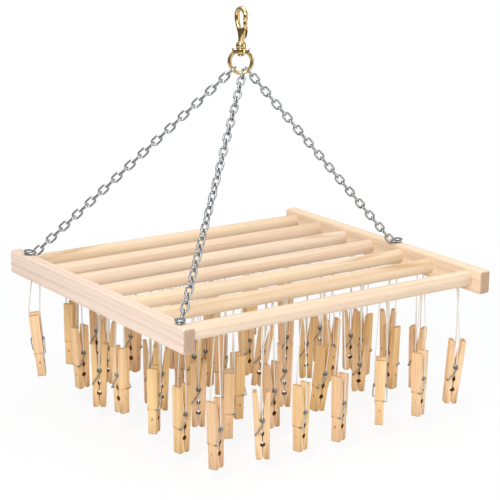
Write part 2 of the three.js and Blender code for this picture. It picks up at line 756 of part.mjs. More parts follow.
// The spring's path: a hook across one leg's groove, an arm up the pin's side that meets the coil at a
// tangent, the turns of the coil, and the same again down the other side to the other leg
function springPath() {
  const reach = springReach();
  const y = grooveMiddle();
  const z = -GROOVE_BELOW_COIL;
  const bearing = Math.atan2(z, y);
  const swing = Math.acos(COIL_RADIUS / Math.hypot(y, z));
  const start = bearing - swing;
  const finish = -Math.PI - bearing + swing - 2 * Math.PI * SPRING_TURNS;
  const steps = Math.ceil(((start - finish) * 8) / (2 * Math.PI));
  const points = [vector(SPRING_HOOK - reach, y, z), vector(-reach, y, z)];
  for (let i = 0; i <= steps; i += 1) {
    const share = i / steps;
    const angle = start + (finish - start) * share;
    const x = reach * (2 * share - 1);
    points.push(vector(x, COIL_RADIUS * Math.cos(angle), COIL_RADIUS * Math.sin(angle)));
  }
  points.push(vector(reach, -y, z), vector(reach - SPRING_HOOK, -y, z));
  return points;
}

function pinAt(row, [share, turn, lean, tip, string]) {
  const place = share * (DOWEL_SPAN / 2 - PIN_MARGIN);
  const along = rowAlong(row);
  const middle = vector(place, along, dowelUnderside - string * STRING_DROP);
  const spin = new THREE.Euler(radians(lean), radians(tip), radians(turn), "ZYX");
  const matrix = new THREE.Matrix4().makeRotationFromEuler(spin).setPosition(middle);
  return { matrix, place, along };
}

// Where the two ends of a pin's string meet its dowel: side by side along the way that the coil points, as
// far as the dowel's underside leaves room. `above` is how far an end reaches past that underside.
function stringTop(pin, end, above) {
  const heading = X_AXIS.clone().transformDirection(pin.matrix);
  const x = pin.place + (end * heading.x * STRING_HOLE_SPACING) / 2;
  const y = pin.along + (end * heading.y * STRING_HOLE_STAGGER) / 2;
  return vector(x, y, dowelUnderside + above);
}

// How far the strands of a string run from the middle of a pin, outside the spring's arms
function strandReach() {
  return springReach() + SPRING_WIRE / 2 + TOUCH_GAP + STRING_DIAMETER / 2;
}

// The string of a pin: from under its dowel down past the side of the handles, which keep clear of it as
// they are squeezed, through the coil, and up the other side
function stringPath(pin) {
  const height = COIL_RADIUS - SPRING_WIRE / 2 - TOUCH_GAP - STRING_DIAMETER / 2;
  const reach = strandReach();
  const bend = STRING_DIAMETER;
  const pastHandles = PIN_WIDTH / 2 + TOUCH_GAP + STRING_DIAMETER / 2;
  const overHandles = Math.hypot(HANDLE_REACH, HANDLE_SPREAD / 2) + TOUCH_GAP;
  const beside = [
    vector(-pastHandles, 0, overHandles),
    vector(-reach, 0, height + bend),
    vector(bend - reach, 0, height),
    vector(reach - bend, 0, height),
    vector(reach, 0, height + bend),
    vector(pastHandles, 0, overHandles),
  ];
  const around = beside.map((point) => point.applyMatrix4(pin.matrix));
  return [stringTop(pin, -1, -STRING_TOP_GAP), ...around, stringTop(pin, 1, -STRING_TOP_GAP)];
}

// A pin in one piece: its legs, a plain bar for the coil with the string through it, and the two strands
function wholePin(pin, above) {
  const radius = COIL_RADIUS + SPRING_WIRE / 2;
  const length = 2 * (strandReach() + STRING_DIAMETER);
  const bar = new THREE.CylinderGeometry(radius, radius, length, 6);
  bar.rotateY(Math.PI / 6).rotateZ(Math.PI / 2);
  const legs = solid(pinBoard(plainOutline())).add(solid(bar));
  const pieces = [turnedInto(pin.matrix, legs)];
  for (const end of [-1, 1]) {
    const foot = vector(end * strandReach(), 0, 0).applyMatrix4(pin.matrix);
    pieces.push(solid(wire([foot, stringTop(pin, end, above)], STRING_DIAMETER / 2, 3)));
  }
  return joined(pieces);
}

// Assembly

const rack = new THREE.Group();
rack.position.set(-HANG_X, -HANG_Y, -HANG_HEIGHT);

function add(name, body, finish) {
  const mesh = new THREE.Mesh(geometryOf(body), finishes[finish]);
  mesh.name = name;
  rack.add(mesh);
}

add("rail_left", rail(-1), "rails");
add("rail_right", rail(1), "rails");

for (const chain of CHAINS) {
  add(`chain_${chain.name}`, chainOf(chain), "zinc");
  add(`screw_${chain.name}`, screw(chain), "zinc");
}

const hookFrame = snapFrame(HOOK_TURN);
add("snap_hook", turnedInto(hookFrame, hook()), "brass");
add("snap_bolt", turnedInto(hookFrame, bolt()), "brass");
const boltSpring = wire(boltSpringPath(), BOLT_SPRING_WIRE / 2, 4);
add("snap_spring", solid(placed(boltSpring, hookFrame)), "steel");
add("snap_ring", turnedInto(snapFrame(RING_TURN), ring()), "brass");

// The front row's pins are built of their own pieces. Behind it, the rear row's pins and the left-hand
// pin of each row are one piece each, and the other pins are one piece with the dowel they hang from.
const lastRow = ROWS.length - 1;
ROWS.forEach((row, rowIndex) => {
  let rod = dowel(rowAlong(row));
  row.pins.forEach((entry, pinIndex) => {
    const pin = pinAt(row, entry);
    const name = `pin_${rowIndex + 1}_${pinIndex + 1}`;
    if (rowIndex === lastRow) {
      const leg = pinBoard(legOutline());
      add(`${name}_leg_free`, solid(placed(leg, pin.matrix)), "pins");
      add(`${name}_leg_held`, solid(placed(leg.rotateZ(Math.PI), pin.matrix)), "pins");
      add(`${name}_spring`, solid(placed(wire(springPath(), SPRING_WIRE / 2, 4), pin.matrix)), "steel");
      add(`${name}_string`, solid(wire(stringPath(pin), STRING_DIAMETER / 2, 5)), "cotton");
    } else if (rowIndex === 0 || pinIndex === 0) {
      add(name, wholePin(pin, -STRING_TOP_GAP), "pins");
    } else {
      rod = rod.add(wholePin(pin, STRING_DIAMETER));
    }
  });
  add(`dowel_${rowIndex + 1}`, rod, "dowels");
});

const pinGap = leastGap(springPath(), SPRING_WIRE, Math.PI * COIL_RADIUS);
const boltGap = leastGap(boltSpringPath(), BOLT_SPRING_WIRE, Math.PI * (BOLT_RADIUS - BOLT_SPRING_WIRE));
console.log(`least gap between a pin spring's turns ${pinGap.toFixed(2)} mm`);
console.log(`least gap between the bolt spring's turns ${boltGap.toFixed(2)} mm`);

export default rack;
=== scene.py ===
"""Looks of a hanging clothespin rack: timber rails and dowels, zinc chains, a brass swivel snap, and rows
of sprung clothespins on cotton strings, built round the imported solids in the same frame."""

import math

import bpy
import numpy as np
from mathutils import Matrix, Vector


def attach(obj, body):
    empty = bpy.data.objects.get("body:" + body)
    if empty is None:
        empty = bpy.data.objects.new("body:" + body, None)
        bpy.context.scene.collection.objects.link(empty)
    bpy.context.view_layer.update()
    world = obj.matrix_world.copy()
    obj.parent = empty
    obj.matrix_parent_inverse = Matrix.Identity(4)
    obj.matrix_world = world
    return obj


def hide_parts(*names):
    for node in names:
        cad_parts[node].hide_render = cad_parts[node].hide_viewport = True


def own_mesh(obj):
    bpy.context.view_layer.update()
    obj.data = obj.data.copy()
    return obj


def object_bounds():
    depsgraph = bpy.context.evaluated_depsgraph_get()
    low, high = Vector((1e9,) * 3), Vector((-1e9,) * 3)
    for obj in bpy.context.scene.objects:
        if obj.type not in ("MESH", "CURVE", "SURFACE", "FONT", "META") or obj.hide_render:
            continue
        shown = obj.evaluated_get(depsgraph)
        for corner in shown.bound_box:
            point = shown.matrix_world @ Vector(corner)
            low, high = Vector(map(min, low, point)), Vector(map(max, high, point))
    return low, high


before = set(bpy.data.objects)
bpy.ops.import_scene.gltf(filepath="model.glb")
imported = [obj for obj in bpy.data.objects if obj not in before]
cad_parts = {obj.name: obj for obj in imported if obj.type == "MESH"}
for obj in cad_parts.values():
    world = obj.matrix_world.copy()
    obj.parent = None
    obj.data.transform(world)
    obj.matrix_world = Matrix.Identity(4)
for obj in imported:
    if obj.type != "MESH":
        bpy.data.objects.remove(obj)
solid_box = [list(corner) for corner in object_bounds()]

MM = 0.001
GAP = 0.3
# From the middle of the rack, at the height of the rails' top faces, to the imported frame
RACK = np.array([9.0, -6.0, -312.5])
HANG = -RACK

# Rails and dowels, in millimetres
RAIL_LENGTH, RAIL_HEIGHT, RAIL_THICKNESS, RAIL_EDGE, RAIL_CORNER = 406.0, 30.0, 16.0, 3.0, 4.5
DOWEL_SPAN, DOWEL_RADIUS, DOWEL_DEPTH, DOWEL_SIDES = 423.0, 9.0, 14.4, 14
REAR_MARGIN, FRONT_MARGIN, PIN_MARGIN = 22.0, 25.0, 9.5
UNDERSIDE = -DOWEL_DEPTH - DOWEL_RADIUS * math.cos(math.pi / DOWEL_SIDES)
RAIL_MIDDLE = (DOWEL_SPAN + RAIL_THICKNESS) / 2
REAR_ROW, FRONT_ROW = RAIL_LENGTH / 2 - REAR_MARGIN, FRONT_MARGIN - RAIL_LENGTH / 2

# Snap, from the underside of its collar
HOOK_INNER, HOOK_THICK, HOOK_EYE, HOOK_TURN = 6.4, 5.6, 38.4, -90.0
HOOK_TOP = HOOK_EYE + HOOK_INNER
COLLAR_RADIUS, COLLAR_HEIGHT, STEM_RADIUS = 6.2, 7.0, 3.9
BARREL_RADIUS, BARREL_TOP, THROAT = 3.5, 25.5, 8.0
BARREL_MIDDLE = HOOK_INNER + HOOK_THICK / 2 - 0.8
BOLT_LENGTH, BOLT_TRAVEL, STUD_RADIUS, STUD_REACH = 11.0, 6.6, 1.3, 1.6
POST_RADIUS, RIVET_RADIUS, RIVET_HEIGHT = 2.6, 4.1, 2.6
RING_TURN, RING_OUTER, RING_WIRE = -36.0, 32.4, 4.8
BOSS_RADIUS, BOSS_HEIGHT, EAR_REACH, EAR_DEPTH = 6.0, 6.2, 11.0, 5.4
RING_RADIUS = (RING_OUTER - RING_WIRE) / 2
BOSS_TOP = -GAP
# In the photo the yoke is deeper, and the bolt and its barrel are slimmer, than the solids' ones
YOKE_HEIGHT, BARREL_LOOK, BOLT_LOOK = 7.4, 3.1, 2.45
RING_MIDDLE = BOSS_TOP - BOSS_HEIGHT / 2 - RING_RADIUS
BOLT_TOP = BARREL_TOP + THROAT - GAP
BOLT_BOTTOM = BOLT_TOP - BOLT_LENGTH
STUD_HEIGHT = BOLT_BOTTOM + STUD_RADIUS

# Chains, and the screws that hold their last links
LINK_PITCH, LINK_WIRE, LINK_INNER_WIDTH, LINK_BITE, END_TILT = 11.2, 2.4, 5.6, 0.25, 5.0
HEAD_RADIUS, SHANK_RADIUS, SHANK_LENGTH, HEAD_TURN = 6.2, 2.1, 5.0, 23.0
# In the photo the wire is thicker and the heads are flatter than the solids' ones
LINK_ROUND, HEAD_LOOK, HEAD_PIT = 1.3, 2.2, 1.3
# For each chain: the side of the rack, the dowel nearest to its screw, the screw's place behind that
# dowel, the angle round the ring, and the twist of its lower half in degrees
CHAINS = {
    "left_rear": (-1, 1, -12.5, -44.0, 0.0),
    "left_front": (-1, 7, -5.0, 12.0, 18.0),
    "right": (1, 5, 12.5, 40.0, 0.0),
}

# Clothespins, from the middle of the spring's coil
PIN_WIDTH, HANDLE_REACH, JAW_REACH, HANDLE_SPREAD, HANDLE_THICK = 12.5, 34.5, 49.0, 20.5, 5.0
JAW_THICK, JAW_NOTCH, TIP_ROUND, GROOVE_LEVEL, JAW_SLIM = 8.0, 2.4, 1.6, -17.5, 0.83
DIAMOND_LEVEL, DIAMOND_HEIGHT, DIAMOND_DEPTH = -16.0, 8.6, 1.9
HOLE_LEVEL, HOLE_RADIUS, DENT_ACROSS, DENT_ALONG = -30.0, 2.8, 0.9, 2.0
COIL_RADIUS, SPRING_WIRE, SPRING_TURNS, SPRING_HOOK = 2.2, 1.4, 8, 5.0
STRING_RADIUS, STRING_SPACING, STRING_STAGGER, STRING_DROP = 0.75, 12.0, 2.4, 105.0
STRAND_REACH = PIN_WIDTH / 2 + 0.05 + STRING_RADIUS
SPRING_REACH = STRAND_REACH + STRING_RADIUS + SPRING_WIRE / 2

# Rows from the rear to the front: share of the way between the end dowels, then for each pin its place
# along the dowel as a share, its turn, lean and tip in degrees, and its string as a share of STRING_DROP
ROWS = [
    (0, [
        (-1, 148, 0, 6, 0.905),
        (-0.752, 125, 0, 0, 0.838),
        (-0.554, 40, 0, 0, 0.933),
        (-0.272, 70, 3, 0, 0.952),
        (0.05, 150, 0, 0, 0.924),
        (0.356, 30, -4, 0, 0.981),
        (0.673, 95, 0, 0, 0.943),
    ]),
    (0.15, [
        (-0.837, 94, -3, 0, 0.981),
        (-0.634, 50, 0, 0, 0.99),
        (-0.446, 25, 0, 0, 0.905),
        (-0.149, 120, 0, 0, 0.962),
        (0.158, 60, 4, 0, 0.933),
        (0.47, 165, 0, 0, 0.99),
        (0.782, 80, 0, 0, 0.924),
    ]),
    (0.306, [
        (-0.861, 56, 0, 0, 1.048),
        (-0.485, 62, 0, 0, 1.143),
        (-0.267, 140, 0, 0, 1.067),
        (-0.054, 35, 0, 0, 1.086),
        (0.257, 100, -3, 0, 1.048),
        (0.584, 62, 0, 0, 1.105),
        (0.871, 52, 0, 0, 1.086),
    ]),
    (0.468, [
        (-0.881, 10, -3, 0, 0.943),
        (-0.589, 60, 0, 0, 1.029),
        (-0.356, 70, 0, 0, 0.895),
        (-0.144, 130, 0, 0, 0.99),
        (0.183, 54, 8, 0, 1.01),
        (0.535, 56, 0, 0, 1.029),
        (0.901, 62, 0, 0, 1.048),
    ]),
    (0.635, [
        (-0.827, 130, 0, 0, 1.038),
        (-0.51, 56, 0, 0, 1.086),
        (-0.223, 170, 0, 0, 1.095),
        (0.139, 54, 0, 0, 1.086),
        (0.505, 75, 0, 0, 0.895),
        (0.772, 20, 0, 0, 0.905),
        (0.975, 60, 0, 0, 0.924),
    ]),
    (0.799, [
        (-0.822, 100, 0, 0, 1.095),
        (-0.495, 155, 0, 0, 1.048),
        (-0.178, 90, -3, 0, 1.057),
        (0.208, 90, 8, 0, 0.99),
        (0.505, 54, 0, -25, 0.952),
        (0.757, 15, 0, 0, 0.914),
        (0.98, 25, 0, 0, 1),
    ]),
    (1, [
        (-0.827, 111, -2, 0, 1.057),
        (-0.505, 58, -2, 0, 1.076),
        (-0.223, 107, 0, 0, 1.095),
        (0.064, 110, 0, 0, 1.095),
        (0.376, 140, 0, 0, 1.01),
        (0.688, 110, 0, 0, 1.029),
        (0.975, 64, 5, 0, 0.981),
    ]),
]

chance = np.random.default_rng(11)


# Small geometry helpers


def unit(v):
    """Vectors scaled to length one along the last axis."""
    v = np.asarray(v, float)
    return v / np.linalg.norm(v, axis=-1, keepdims=True)


def spin(axis, degrees):
    """Rotation matrix about the X, Y or Z axis."""
    c, s = math.cos(math.radians(degrees)), math.sin(math.radians(degrees))
    i, j = {"x": (1, 2), "y": (2, 0), "z": (0, 1)}[axis]
    m = np.eye(3)
    m[i, i] = m[j, j] = c
    m[i, j], m[j, i] = -s, s
    return m


def arc(middle, radius, start, finish, count):
    """Points on a circle round a middle, from one angle in degrees to another."""
    a = np.radians(np.linspace(start, finish, count))
    return np.stack([middle[0] + radius * np.cos(a), middle[1] + radius * np.sin(a)], 1)


def curve(a, b, c, d, count):
    """Points on a cubic curve that leaves a towards b and reaches d from c."""
    t = np.linspace(0, 1, count)[:, None]
    a, b, c, d = (np.asarray(p, float) for p in (a, b, c, d))
    return a * (1 - t) ** 3 + 3 * b * t * (1 - t) ** 2 + 3 * c * t**2 * (1 - t) + d * t**3


def softened(points, setback, count=4, closed=False):
    """The path with each corner swapped for a short parabola that starts `setback` before it."""
    points = np.asarray(points, float)
    before, after = np.roll(points, 1, 0), np.roll(points, -1, 0)
    setback = np.broadcast_to(np.asarray(setback, float), len(points))[:, None]
    into = points + unit(before - points) * setback
    out = points + unit(after - points) * setback
    t = np.linspace(0, 1, count)[None, :, None]
    bends = into[:, None] * (1 - t) ** 2 + 2 * points[:, None] * t * (1 - t) + out[:, None] * t**2
    if closed:
        return bends.reshape(-1, points.shape[1])
    middle = bends[1:-1].reshape(-1, points.shape[1])
    return np.concatenate([points[:1], middle, points[-1:]])


def wall(rows, around, looped=False):
    """Quads between neighbouring rows of a grid whose rows close on themselves."""
    i = np.arange(rows if looped else rows - 1)[:, None]
    k = np.arange(around)[None]
    here, there = i * around, (i + 1) % rows * around
    turn = (k + 1) % around
    return np.stack([here + k, here + turn, there + turn, there + k], -1).reshape(-1, 4).tolist()


def outward(points, faces):
    """The faces, all reversed if the surface that they close has its inside out, so a negative volume."""
    total = 0.0
    for size in {len(f) for f in faces}:
        corner = points[np.array([f for f in faces if len(f) == size])]
        fan = np.cross(corner[:, 1:-1], corner[:, 2:])
        total += (corner[:, :1] * fan).sum()
    return faces if total > 0 else [f[::-1] for f in faces]


def stacked(rings):
    """A closed surface through rings of equally many points, with a flat face at either end."""
    points, around = np.concatenate(rings), len(rings[0])
    last = len(points) - around
    faces = wall(len(rings), around) + [list(range(around))[::-1], list(range(last, len(points)))]
    return points, outward(points, faces)


def pointed(rings, low, high):
    """A closed surface through rings of equally many points, with a fan to a point at either end."""
    points, around = np.concatenate([*rings, [low, high]]), len(rings[0])
    faces = wall(len(rings), around)
    last = (len(rings) - 1) * around
    here = np.arange(around)
    turn = (here + 1) % around
    faces += np.stack([np.full(around, len(points) - 2), turn, here], 1).tolist()
    faces += np.stack([np.full(around, len(points) - 1), last + here, last + turn], 1).tolist()
    return points, outward(points, faces)


def tube(path, radius, sides, reference, looped=False, flat=1.0):
    """A round bar along a path: at each point a ring of the given radius, square to the path, whose first
    corner lies towards the reference direction. `flat` scales the ring across that direction."""
    path = np.asarray(path, float)
    if looped:
        along = unit(np.roll(path, -1, 0) - np.roll(path, 1, 0))
    else:
        along = unit(np.gradient(path, axis=0))
    reference = np.broadcast_to(np.asarray(reference, float), path.shape)
    first = unit(reference - along * (reference * along).sum(1, keepdims=True))
    second = np.cross(along, first)
    angle = np.linspace(0, 2 * math.pi, sides, endpoint=False)
    radius = np.broadcast_to(np.asarray(radius, float), len(path))[:, None, None]
    ring = first[:, None] * np.cos(angle)[:, None] + second[:, None] * (flat * np.sin(angle))[:, None]
    rings = path[:, None] + radius * ring
    if not looped:
        return stacked(rings)
    points = rings.reshape(-1, 3)
    return points, outward(points, wall(len(path), sides, looped))


def turned(profile, sides):
    """A profile of radius and height turned about Z, closed by a point where its ends lie on the axis."""
    profile = np.asarray(profile, float)
    angle = np.linspace(0, 2 * math.pi, sides, endpoint=False)
    radius, height = profile[1:-1, :1], np.repeat(profile[1:-1, 1:], sides, 1)
    rings = np.stack([radius * np.cos(angle), radius * np.sin(angle), height], -1)
    return pointed(rings, (0, 0, profile[0, 1]), (0, 0, profile[-1, 1]))


def inset(outline, depth):
    """A counterclockwise outline with each corner moved inside by `depth` along the mitre of its sides."""
    ahead = unit(np.roll(outline, -1, 0) - outline)
    inward = np.stack([-ahead[:, 1], ahead[:, 0]], 1)
    mitre = inward + np.roll(inward, 1, 0)
    mitre /= np.maximum((mitre * inward).sum(1, keepdims=True), 0.6)
    return outline + depth * mitre


def board(outline, low, high, ease, steps=3):
    """An outline drawn out along the third axis, its end edges eased by a quarter round."""
    outline = np.asarray(outline, float)
    a = np.linspace(0, math.pi / 2, steps + 1)
    depth = np.concatenate([[1.1 * ease], ease * (1 - np.sin(a))])
    level = np.concatenate([[0.0], ease * (1 - np.cos(a))])
    depth = np.concatenate([depth, depth[::-1]])
    level = np.concatenate([low + level, (high - level)[::-1]])
    rows = zip(depth, level)
    return stacked([np.column_stack([inset(outline, d), np.full(len(outline), w)]) for d, w in rows])


def placed(shell, matrix, middle):
    """A shell turned by a matrix, then moved to a middle."""
    points, faces = shell
    return points @ np.asarray(matrix).T + np.asarray(middle), faces


def together(*shells):
    """Several shells as one."""
    points, faces, count = [], [], 0
    for p, f in shells:
        points.append(p)
        faces += [[i + count for i in face] for face in f]
        count += len(p)
    return np.concatenate(points), faces


def row_along(share):
    """How far a dowel lies behind the middle of the rack."""
    return REAR_ROW + (FRONT_ROW - REAR_ROW) * share


def piece(name, shell, material, body, slot, hides=(), crease=34.0, **fields):
    """A named mesh object that rides a body. Points are in millimetres from the middle of the rack, and
    each field is a number or a vector for every point."""
    points, faces = shell
    mesh = bpy.data.meshes.new(name)
    mesh.from_pydata(((points + RACK) * MM).tolist(), [], faces)
    mesh.shade_smooth()
    mesh.set_sharp_from_angle(angle=math.radians(crease))
    for field, values in fields.items():
        values = np.asarray(values, np.float32)
        vector = values.ndim == 2
        layer = mesh.attributes.new(field, "FLOAT_VECTOR" if vector else "FLOAT", "POINT")
        layer.data.foreach_set("vector" if vector else "value", values.ravel())
    mesh.materials.append(material)
    thing = bpy.data.objects.new(name, mesh)
    bpy.context.scene.collection.objects.link(thing)
    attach(thing, body)
    if hides:
        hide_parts(*hides)
    return thing


# Materials


def add(tree, kind, inputs=None, **settings):
    """A node with its settings, its constant inputs set and its linked inputs joined."""
    made = tree.nodes.new(kind)
    for key, value in settings.items():
        setattr(made, key, value)
    for key, value in (inputs or {}).items():
        if isinstance(value, bpy.types.NodeSocket):
            tree.links.new(value, made.inputs[key])
        else:
            made.inputs[key].default_value = value
    return made


def maths(tree, operation, a, b=0.0, clamp=False):
    """One arithmetic step on two values or sockets."""
    return add(tree, "ShaderNodeMath", {0: a, 1: b}, operation=operation, use_clamp=clamp).outputs[0]


def ramp(tree, value, low, high):
    """0 up to `low`, 1 from `high` on, and a smooth rise between."""
    made = add(tree, "ShaderNodeMapRange", {0: value, 1: low, 2: high}, interpolation_type="SMOOTHSTEP")
    return made.outputs[0]


def blend(tree, factor, a, b, how="MIX"):
    """Two colours mixed by a factor."""
    made = add(tree, "ShaderNodeMix", {0: factor}, data_type="RGBA", blend_type=how)
    for key, value in ((6, a), (7, b)):
        if isinstance(value, bpy.types.NodeSocket):
            tree.links.new(value, made.inputs[key])
        else:
            made.inputs[key].default_value = (*value, 1.0)
    return made.outputs[2]


def noise(tree, vector, scale, detail=3.0, rough=0.55):
    """Cloudy values round one half."""
    inputs = {"Vector": vector, "Scale": scale, "Detail": detail, "Roughness": rough}
    return add(tree, "ShaderNodeTexNoise", inputs).outputs[0]


def growth_rings(tree, place, scale, waver):
    """Thin dark lines on circles round the X axis, bent by noise."""
    inputs = {"Vector": place, "Scale": scale, "Distortion": waver, "Detail": 2.0, "Detail Scale": 0.35}
    kinds = {"wave_type": "RINGS", "rings_direction": "X", "wave_profile": "SAW"}
    return maths(tree, "POWER", add(tree, "ShaderNodeTexWave", inputs, **kinds).outputs[1], 3.0)


def timber_group():
    """Sawn pale timber. The field `grain` holds millimetres with X along the fibres, `tone` darkens,
    `tint` colours, `butt` marks end grain, `pit` marks the inside of cut holes, which get a painted
    shade colour, and `dimple` holds the place inside a small oval dent with the dent's strength
    as third number, where the same painted shade stands in for the dent. Growth rings are circles round
    a far heart line, fibres and pores are noise drawn out along X."""
    tree = bpy.data.node_groups.new("timber", "ShaderNodeTree")
    for name in ("Light", "Dark", "Butt"):
        tree.interface.new_socket(name, in_out="INPUT", socket_type="NodeSocketColor")
    tree.interface.new_socket("Figure", in_out="INPUT", socket_type="NodeSocketFloat")
    tree.interface.new_socket("Colour", in_out="OUTPUT", socket_type="NodeSocketColor")
    tree.interface.new_socket("Roughness", in_out="OUTPUT", socket_type="NodeSocketFloat")
    tree.interface.new_socket("Height", in_out="OUTPUT", socket_type="NodeSocketFloat")
    given, made = tree.nodes.new("NodeGroupInput"), tree.nodes.new("NodeGroupOutput")
    grain, tint = (
        add(tree, "ShaderNodeAttribute", attribute_name=n).outputs["Vector"] for n in ("grain", "tint")
    )
    tone, butt, pit = (
        add(tree, "ShaderNodeAttribute", attribute_name=n).outputs["Fac"] for n in ("tone", "butt", "pit")
    )
    drawn = add(tree, "ShaderNodeMapping", {0: grain, 3: (0.03, 1.0, 1.0)}).outputs[0]
    short = add(tree, "ShaderNodeMapping", {0: grain, 3: (0.12, 1.0, 1.0)}).outputs[0]
    rings = growth_rings(tree, drawn, 0.06, 9.0)
    fibres = noise(tree, drawn, 0.5, 4.0, 0.65)
    drift = noise(tree, drawn, 0.07, 2.0)
    pores = ramp(tree, noise(tree, short, 1.1, 2.0, 0.5), 0.64, 0.76)
    streak = maths(tree, "MULTIPLY", maths(tree, "SUBTRACT", fibres, 0.38), 0.75)
    figure = maths(tree, "ADD", maths(tree, "MULTIPLY", rings, 0.32), streak)
    figure = maths(tree, "ADD", figure, maths(tree, "MULTIPLY", maths(tree, "SUBTRACT", drift, 0.5), 1.3))
    figure = maths(tree, "MULTIPLY", figure, given.outputs["Figure"])
    figure = maths(tree, "ADD", figure, tone, clamp=True)
    colour = blend(tree, figure, given.outputs["Light"], given.outputs["Dark"])
    colour = blend(tree, maths(tree, "MULTIPLY", pores, 0.3), colour, given.outputs["Butt"])
    colour = blend(tree, 1.0, colour, tint, "MULTIPLY")
    arcs = growth_rings(tree, drawn, 0.13, 2.0)
    speck = noise(tree, grain, 1.4)
    cut = maths(tree, "ADD", maths(tree, "MULTIPLY", arcs, 0.5), maths(tree, "MULTIPLY", speck, 0.6))
    cut = maths(tree, "MULTIPLY", butt, maths(tree, "ADD", cut, 0.25), clamp=True)
    colour = blend(tree, cut, colour, given.outputs["Butt"])
    # Painted shade of a small dent: an oval of the outer face at the line hole's level is coloured dark,
    # the dent has no shape of its own
    dimple = add(tree, "ShaderNodeAttribute", attribute_name="dimple").outputs["Vector"]
    parts = add(tree, "ShaderNodeSeparateXYZ", {0: dimple})
    flat = add(tree, "ShaderNodeCombineXYZ", {0: parts.outputs[0], 1: parts.outputs[1]}).outputs[0]
    apart = add(tree, "ShaderNodeVectorMath", {0: flat}, operation="LENGTH").outputs["Value"]
    inside = maths(tree, "SUBTRACT", 1.0, ramp(tree, apart, 0.6, 1.3))
    dent = maths(tree, "MULTIPLY", inside, parts.outputs[2])
    # Painted shade: the insides of the cut holes and the oval of the dent are coloured a near-black brown
    colour = blend(tree, maths(tree, "MAXIMUM", pit, dent), colour, (0.19, 0.07, 0.014))
    rough = maths(tree, "ADD", maths(tree, "MULTIPLY", fibres, 0.2), 0.5)
    height = maths(tree, "MULTIPLY", fibres, 0.6)
    height = maths(tree, "SUBTRACT", height, maths(tree, "MULTIPLY", pores, 0.5))
    for name, value in (("Colour", colour), ("Roughness", rough), ("Height", height)):
        tree.links.new(value, made.inputs[name])
    return tree


def started(name):
    """A new material with its surface shader."""
    made = bpy.data.materials.new(name)
    made.use_nodes = True
    made.node_tree.nodes.clear()
    shader = add(made.node_tree, "ShaderNodeBsdfPrincipled")
    end = add(made.node_tree, "ShaderNodeOutputMaterial")
    made.node_tree.links.new(shader.outputs[0], end.inputs[0])
    return made, made.node_tree, shader


def raised(tree, shader, height, distance, strength=0.5):
    """Small relief from a height, in metres."""
    inputs = {"Height": height, "Distance": distance, "Strength": strength}
    tree.links.new(add(tree, "ShaderNodeBump", inputs).outputs[0], shader.inputs["Normal"])


def timber(name, light, dark, butt, figure):
    """One of the three woods, from the shared timber group."""
    made, tree, shader = started(name)
    inputs = {"Light": (*light, 1), "Dark": (*dark, 1), "Butt": (*butt, 1), "Figure": figure}
    group = tree.nodes.new("ShaderNodeGroup")
    group.node_tree = timber_shared
    for key, value in inputs.items():
        group.inputs[key].default_value = value
    tree.links.new(group.outputs["Colour"], shader.inputs["Base Color"])
    tree.links.new(group.outputs["Roughness"], shader.inputs["Roughness"])
    shader.inputs["Specular IOR Level"].default_value = 0.3
    raised(tree, shader, group.outputs["Height"], 0.0002, 0.35)
    return made


def metal(name, light, dark, rough, cell, tarnish):
    """Plated or polished metal: cloudy tarnish between two colours, with fine scratches in the sheen."""
    made, tree, shader = started(name)
    place = add(tree, "ShaderNodeTexCoord").outputs["Object"]
    cloud = noise(tree, place, cell, 4.0, 0.6)
    fine = noise(tree, place, cell * 9, 2.0, 0.5)
    spots = maths(tree, "MULTIPLY", ramp(tree, cloud, 0.45, 0.72), tarnish)
    tree.links.new(blend(tree, spots, light, dark), shader.inputs["Base Color"])
    sheen = maths(tree, "MULTIPLY_ADD", fine, 0.16)
    sheen.node.inputs[2].default_value = rough - 0.08
    sheen = maths(tree, "ADD", sheen, maths(tree, "MULTIPLY", spots, 0.1))
    tree.links.new(sheen, shader.inputs["Roughness"])
    shader.inputs["Metallic"].default_value = 1.0
    raised(tree, shader, fine, 0.00005, 0.15)
    return made


def cotton_cord():
    """Twisted pale cotton: slanting strands from the field `wind`, which holds the angle round the cord in
    turns and the length along it in millimetres."""
    made, tree, shader = started("twisted cotton")
    wind = add(tree, "ShaderNodeAttribute", attribute_name="wind").outputs["Vector"]
    parts = add(tree, "ShaderNodeSeparateXYZ", {0: wind})
    lay = maths(tree, "MULTIPLY_ADD", parts.outputs[1], 0.45)
    tree.links.new(maths(tree, "MULTIPLY", parts.outputs[0], 3.0), lay.node.inputs[2])
    strand = maths(tree, "ABSOLUTE", maths(tree, "SUBTRACT", maths(tree, "FRACT", lay), 0.5))
    crown = maths(tree, "SUBTRACT", 1.0, maths(tree, "MULTIPLY", strand, 2.0))
    lint = noise(tree, add(tree, "ShaderNodeTexCoord").outputs["Object"], 1500.0, 2.0)
    # Painted shade: the colour darkens into the grooves between the strands, mottled by lint
    shade, dust = maths(tree, "POWER", crown, 0.6), maths(tree, "ADD", lint, 0.45)
    shade = maths(tree, "MULTIPLY", shade, dust, clamp=True)
    colour = blend(tree, shade, (0.62, 0.56, 0.46), (0.92, 0.885, 0.81))
    tree.links.new(colour, shader.inputs["Base Color"])
    shader.inputs["Roughness"].default_value = 0.95
    shader.inputs["Specular IOR Level"].default_value = 0.1
    raised(tree, shader, crown, 0.0004, 0.6)
    return made


